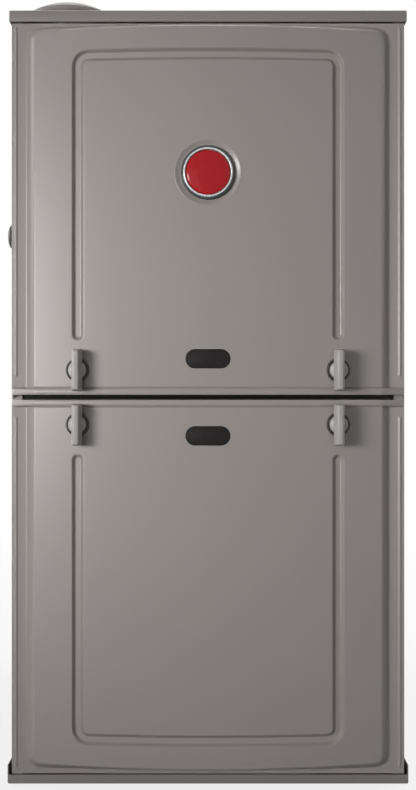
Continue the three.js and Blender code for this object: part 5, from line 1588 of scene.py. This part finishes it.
laminate = block(BOARD[0], BOARD[1], BOARD_FRONT, BOARD_FRONT + BOARD_THICK, BOARD[2], BOARD[3], 0.3)
finish(laminate, "board_laminate", circuit_board, "cabinet", "circuit_board", "control_board")
relays = [join(on_board(x, x + 24, 16, 330, 352, 1.0, 3),
               on_board(x - 0.5, x + 24.5, 2.2, 329.5, 352.5, 0.3)) for x in RELAY_XS]
chip = block(-46, -24, BOARD_FRONT - 3.4, BOARD_FRONT - 0.8, 364, 380, 0.4)
legs = [block(x - 0.4, x + 0.4, BOARD_FRONT - 1.6, BOARD_FRONT, 362, 382, 0.1) for x in LEG_XS]
finish(join(*relays, chip), "board_relays", black_nylon, "cabinet", "black_plastic")
terminals = [on_board(x - 3.6, x + 3.6, 11, 394, 408, 0.7) for x in TERMINAL_XS]
plug_body = on_board(44, 58, 9, 340, 400, 1.0)
pins = [block(49, 53, BOARD_FRONT - 12, BOARD_FRONT - 8, 345 + 10 * i, 350 + 10 * i) for i in range(6)]
posts = [rod("y", (x, 0, z), 3, BOARD_FRONT - 2.4, POST_END, 0.7, 20)
         for x in (-54, 74) for z in (311, 409)]
screws_in = [screw_head("y", x, BOARD_FRONT - 10.9, 401, -1, 1.7) for x in TERMINAL_XS]
finish(join(*terminals, cut(plug_body, *pins), *posts), "board_terminals", white_acetal, "cabinet",
       "white_plastic")
cans = [spun("y", (x, BOARD_FRONT, z), [
    (0, 0.2), (r, 0.2), (r, -8.4), (r - 0.7, -9), (r - 1.6, -9), (r - 1.6, -8.7), (0, -8.7)], 32)
    for x, z, r in ((68, 352, 5.5), (68, 368, 4.5), (68, 384, 4.5), (-2, 372, 3.6))]
fuse = rod("x", (0, BOARD_FRONT - 4, 318), 2.6, -40, -18, 0.6, 24)
clips = [block(x - 1.6, x + 1.6, BOARD_FRONT - 6.2, BOARD_FRONT, 314.6, 321.4, 0.4) for x in (-38, -20)]
finish(join(*cans, fuse, *clips, *legs, *screws_in), "board_metal_parts", die_cast, "cabinet", "galvanised",
       smooth=50)
lamp = spun("y", (24, BOARD_FRONT, 372), [
    (0, 0), (3, 0), (3, -1), (2.5, -1), (2.5, -4), (1.8, -5.6), (0, -6.4)], 24)
finish(lamp, "board_indicator", red_acetal, "cabinet", "knob_red", smooth=60)
print("board with", len(relays), "relays and", len(terminals), "terminals")

# %% [markdown]
# The transformer is a stack of varnished steel laminations round a taped coil, on a flat foot. A stack
# shows its sheets as fine lines, so shallow grooves are cut round it.

# %% Transformer
CORE = {"left": -165.0, "right": -90.0, "bottom": 340.0, "top": 392.0, "deep": 28.0, "sheets": 12}
FOOT_SHEET = 2.0
GROOVE = {"half": 0.25, "deep": 0.5}
coil_low, coil_high = node_box("transformer")
CORE_BACK = coil_high[1]


def core_slab(y0, y1, grow, radius=0.0):
    low = (CORE["left"] - grow, y0, CORE["bottom"] - grow)
    return box_block(low, (CORE["right"] + grow, y1, CORE["top"] + grow), radius)


core = core_slab(CORE_BACK - FOOT_SHEET - CORE["deep"], CORE_BACK - FOOT_SHEET, 0, 0.6)
for i in range(1, CORE["sheets"]):
    y = CORE_BACK - FOOT_SHEET - CORE["deep"] * i / CORE["sheets"]
    frame_cut = core_slab(y - GROOVE["half"], y + GROOVE["half"], 2)
    cut(core, cut(frame_cut, core_slab(y - 1, y + 1, -GROOVE["deep"])))
foot = core_slab(CORE_BACK - FOOT_SHEET - 0.2, CORE_BACK, 0, 0.4)
bolts = [hexagon("y", (x, CORE_BACK - 30, z), 7, -3, 0.5) for x in (-160, -95) for z in (345, 387)]
finish(join(core, foot, *bolts), "transformer_core", laminations, "cabinet", "laminations", "transformer")
tape = moulded("winding_tape", "#d8b24a", "#c79f38", 0.5, 1.0, 0.05)
winding = block(-152, -103, coil_low[1], CORE_BACK - 28, 350, 382, 5.0, 5)
finish(winding, "transformer_winding", tape, "cabinet", "laminations")
print("transformer", round(CORE_BACK - coil_low[1], 1), "mm deep")

# %% [markdown]
# Mains comes into a small junction box with a screwed lid and a bushed hole below. Next to it, folded
# out of one sheet, the control plate hangs from the deck and takes a row of screws.

# %% Junction box and control plate
BUSH_HOLE = 11.0
DIMPLE_SIDE, DIMPLE_END = 7.0, 14.0
BEAD_Z = (294.5, 299.5)
SCREW_Z = 422.0
j_low, j_high = node_box("junction_box")
shell = open_tray(j_low, j_high, 1, -1, 1.2)
hole_at = ((j_low[0] + j_high[0]) / 2, (j_low[1] + j_high[1]) / 2, j_low[2])
cut(shell, rod("z", hole_at, BUSH_HOLE, -2, 4, 0.1, 40))
lid = box_block(j_low, (j_high[0], j_low[1] + SHEET, j_high[2]), 0.5)
dimple = block(j_low[0] + DIMPLE_SIDE, j_high[0] - DIMPLE_SIDE, j_low[1] - 0.8, j_low[1] + 0.5,
               j_low[2] + DIMPLE_END, j_high[2] - DIMPLE_END, 0.7, 3)
heads = [screw_head("y", hole_at[0], j_low[1], z, -1, 2.6) for z in (j_low[2] + 7, j_high[2] - 7)]
finish(join(shell, lid, dimple, *heads), "mains_box", galvanised, "cabinet", "galvanised", "junction_box")
bush = spun("z", hole_at, [
    (8.5, -2.4), (13.5, -2.4), (14, -1.8), (14, -0.1), (10.8, -0.1), (10.8, 2.6), (8.5, 2.6)], 40)
finish(bush, "mains_bush", black_nylon, "cabinet", "black_plastic", smooth=40)
plate_low, plate_high = node_box("control_plate")
front_sheet = box_block(plate_low, (plate_high[0], plate_low[1] + SHEET, plate_high[2]), 0.5)
flange = box_block((plate_low[0], plate_low[1], plate_high[2] - SHEET), plate_high, 0.5)
bead = block(plate_low[0] + 12, plate_high[0] - 12, plate_low[1] - 1.0, plate_low[1] + 0.4, *BEAD_Z, 0.9, 3)
heads = [screw_head("y", x, plate_low[1], SCREW_Z, -1, 2.8) for x in (-165, -80, 85)]
finish(join(front_sheet, flange, bead, *heads), "control_shelf", galvanised, "cabinet", "galvanised",
       "control_plate")
print("junction box", round(j_high[2] - j_low[2]), "mm tall")

# %% [markdown]
# The door switch cuts the power when the lower door comes off. Its round-ended white plunger is pressed
# in by a few millimetres.

# %% Interlock switch
BORE_END, STEM_Y = -300.0, (-298.0, -295.0)
s_low, s_high = node_box("interlock_switch")
p_low, p_high = node_box("interlock_plunger")
PLUNGER_X, PLUNGER_Z = (p_low[0] + p_high[0]) / 2, (p_low[2] + p_high[2]) / 2
body = block(PLUNGER_X - 12, PLUNGER_X + 12, s_low[1], s_high[1], PLUNGER_Z - 9, PLUNGER_Z + 9, 1.2, 3)
bezel = ring("y", (PLUNGER_X, s_low[1], PLUNGER_Z), 3.6, 7.5, -1.2, 1.0, 0.5, 40)
cut(body, rod("y", (PLUNGER_X, 0, PLUNGER_Z), 3.5, s_low[1] - 3, BORE_END, 0.1, 24))
finish(join(body, bezel), "interlock_body", black_nylon, "cabinet", "black_plastic", "interlock_switch")
stem = block(PLUNGER_X - 6, PLUNGER_X + 6, *STEM_Y, PLUNGER_Z + 8.6, s_high[2], 0.4)
spades = [block(x - 3, x + 3, s_high[1] - 0.4, s_high[1] + 7, PLUNGER_Z - 0.4, PLUNGER_Z + 0.4, 0.1)
          for x in (PLUNGER_X - 6.5, PLUNGER_X + 6.5)]
finish(join(stem, *spades), "interlock_bracket", galvanised, "cabinet", "galvanised")
front, back = p_low[1], p_high[1]
tip = spun("y", (PLUNGER_X, 0, PLUNGER_Z), [
    (0, front), (1.4, front + 0.3), (2.4, front + 1.0), (2.95, front + 2.4), (2.95, back - 0.4),
    (2.5, back), (0, back)], 32)
finish(tip, "interlock_button", white_acetal, "interlock_plunger", "white_plastic", "interlock_plunger",
       smooth=60)
print("plunger stands", round(s_low[1] - p_low[1], 1), "mm out of its switch")

# %% [markdown]
# What is still bare are the frame's own solids, whose shapes are already right. Each takes the finish
# of the material slot that the record gives it.

# %% Finish for carried-over solids
# The badge's chrome slot takes the chrome painted dark, a painted reflection of shade.
SLOT_FINISH = {
    "cabinet_paint": cabinet_enamel, "latch_plastic": latch_nylon, "black_plastic": black_nylon,
    "seal_foam": seal_foam, "smoked_window": smoked, "red_dome": red_resin, "badge_chrome": chrome_painted_dark,
    "galvanised": galvanised, "aluminised": aluminised, "motor_shell": motor_enamel,
    "inducer_paint": heat_enamel, "gas_pipe": black_iron, "die_cast": die_cast, "knob_red": red_acetal,
    "ceramic": ceramic, "circuit_board": circuit_board, "laminations": laminations,
    "white_plastic": white_acetal,
}
for subpart in frame["record"]["subparts"]:
    for solid in [o for o in bpy.data.objects if o.type == "MESH" and o.name == subpart["node"]]:
        solid.data.materials.clear()
        solid.data.materials.append(SLOT_FINISH[subpart["material_slot"]])
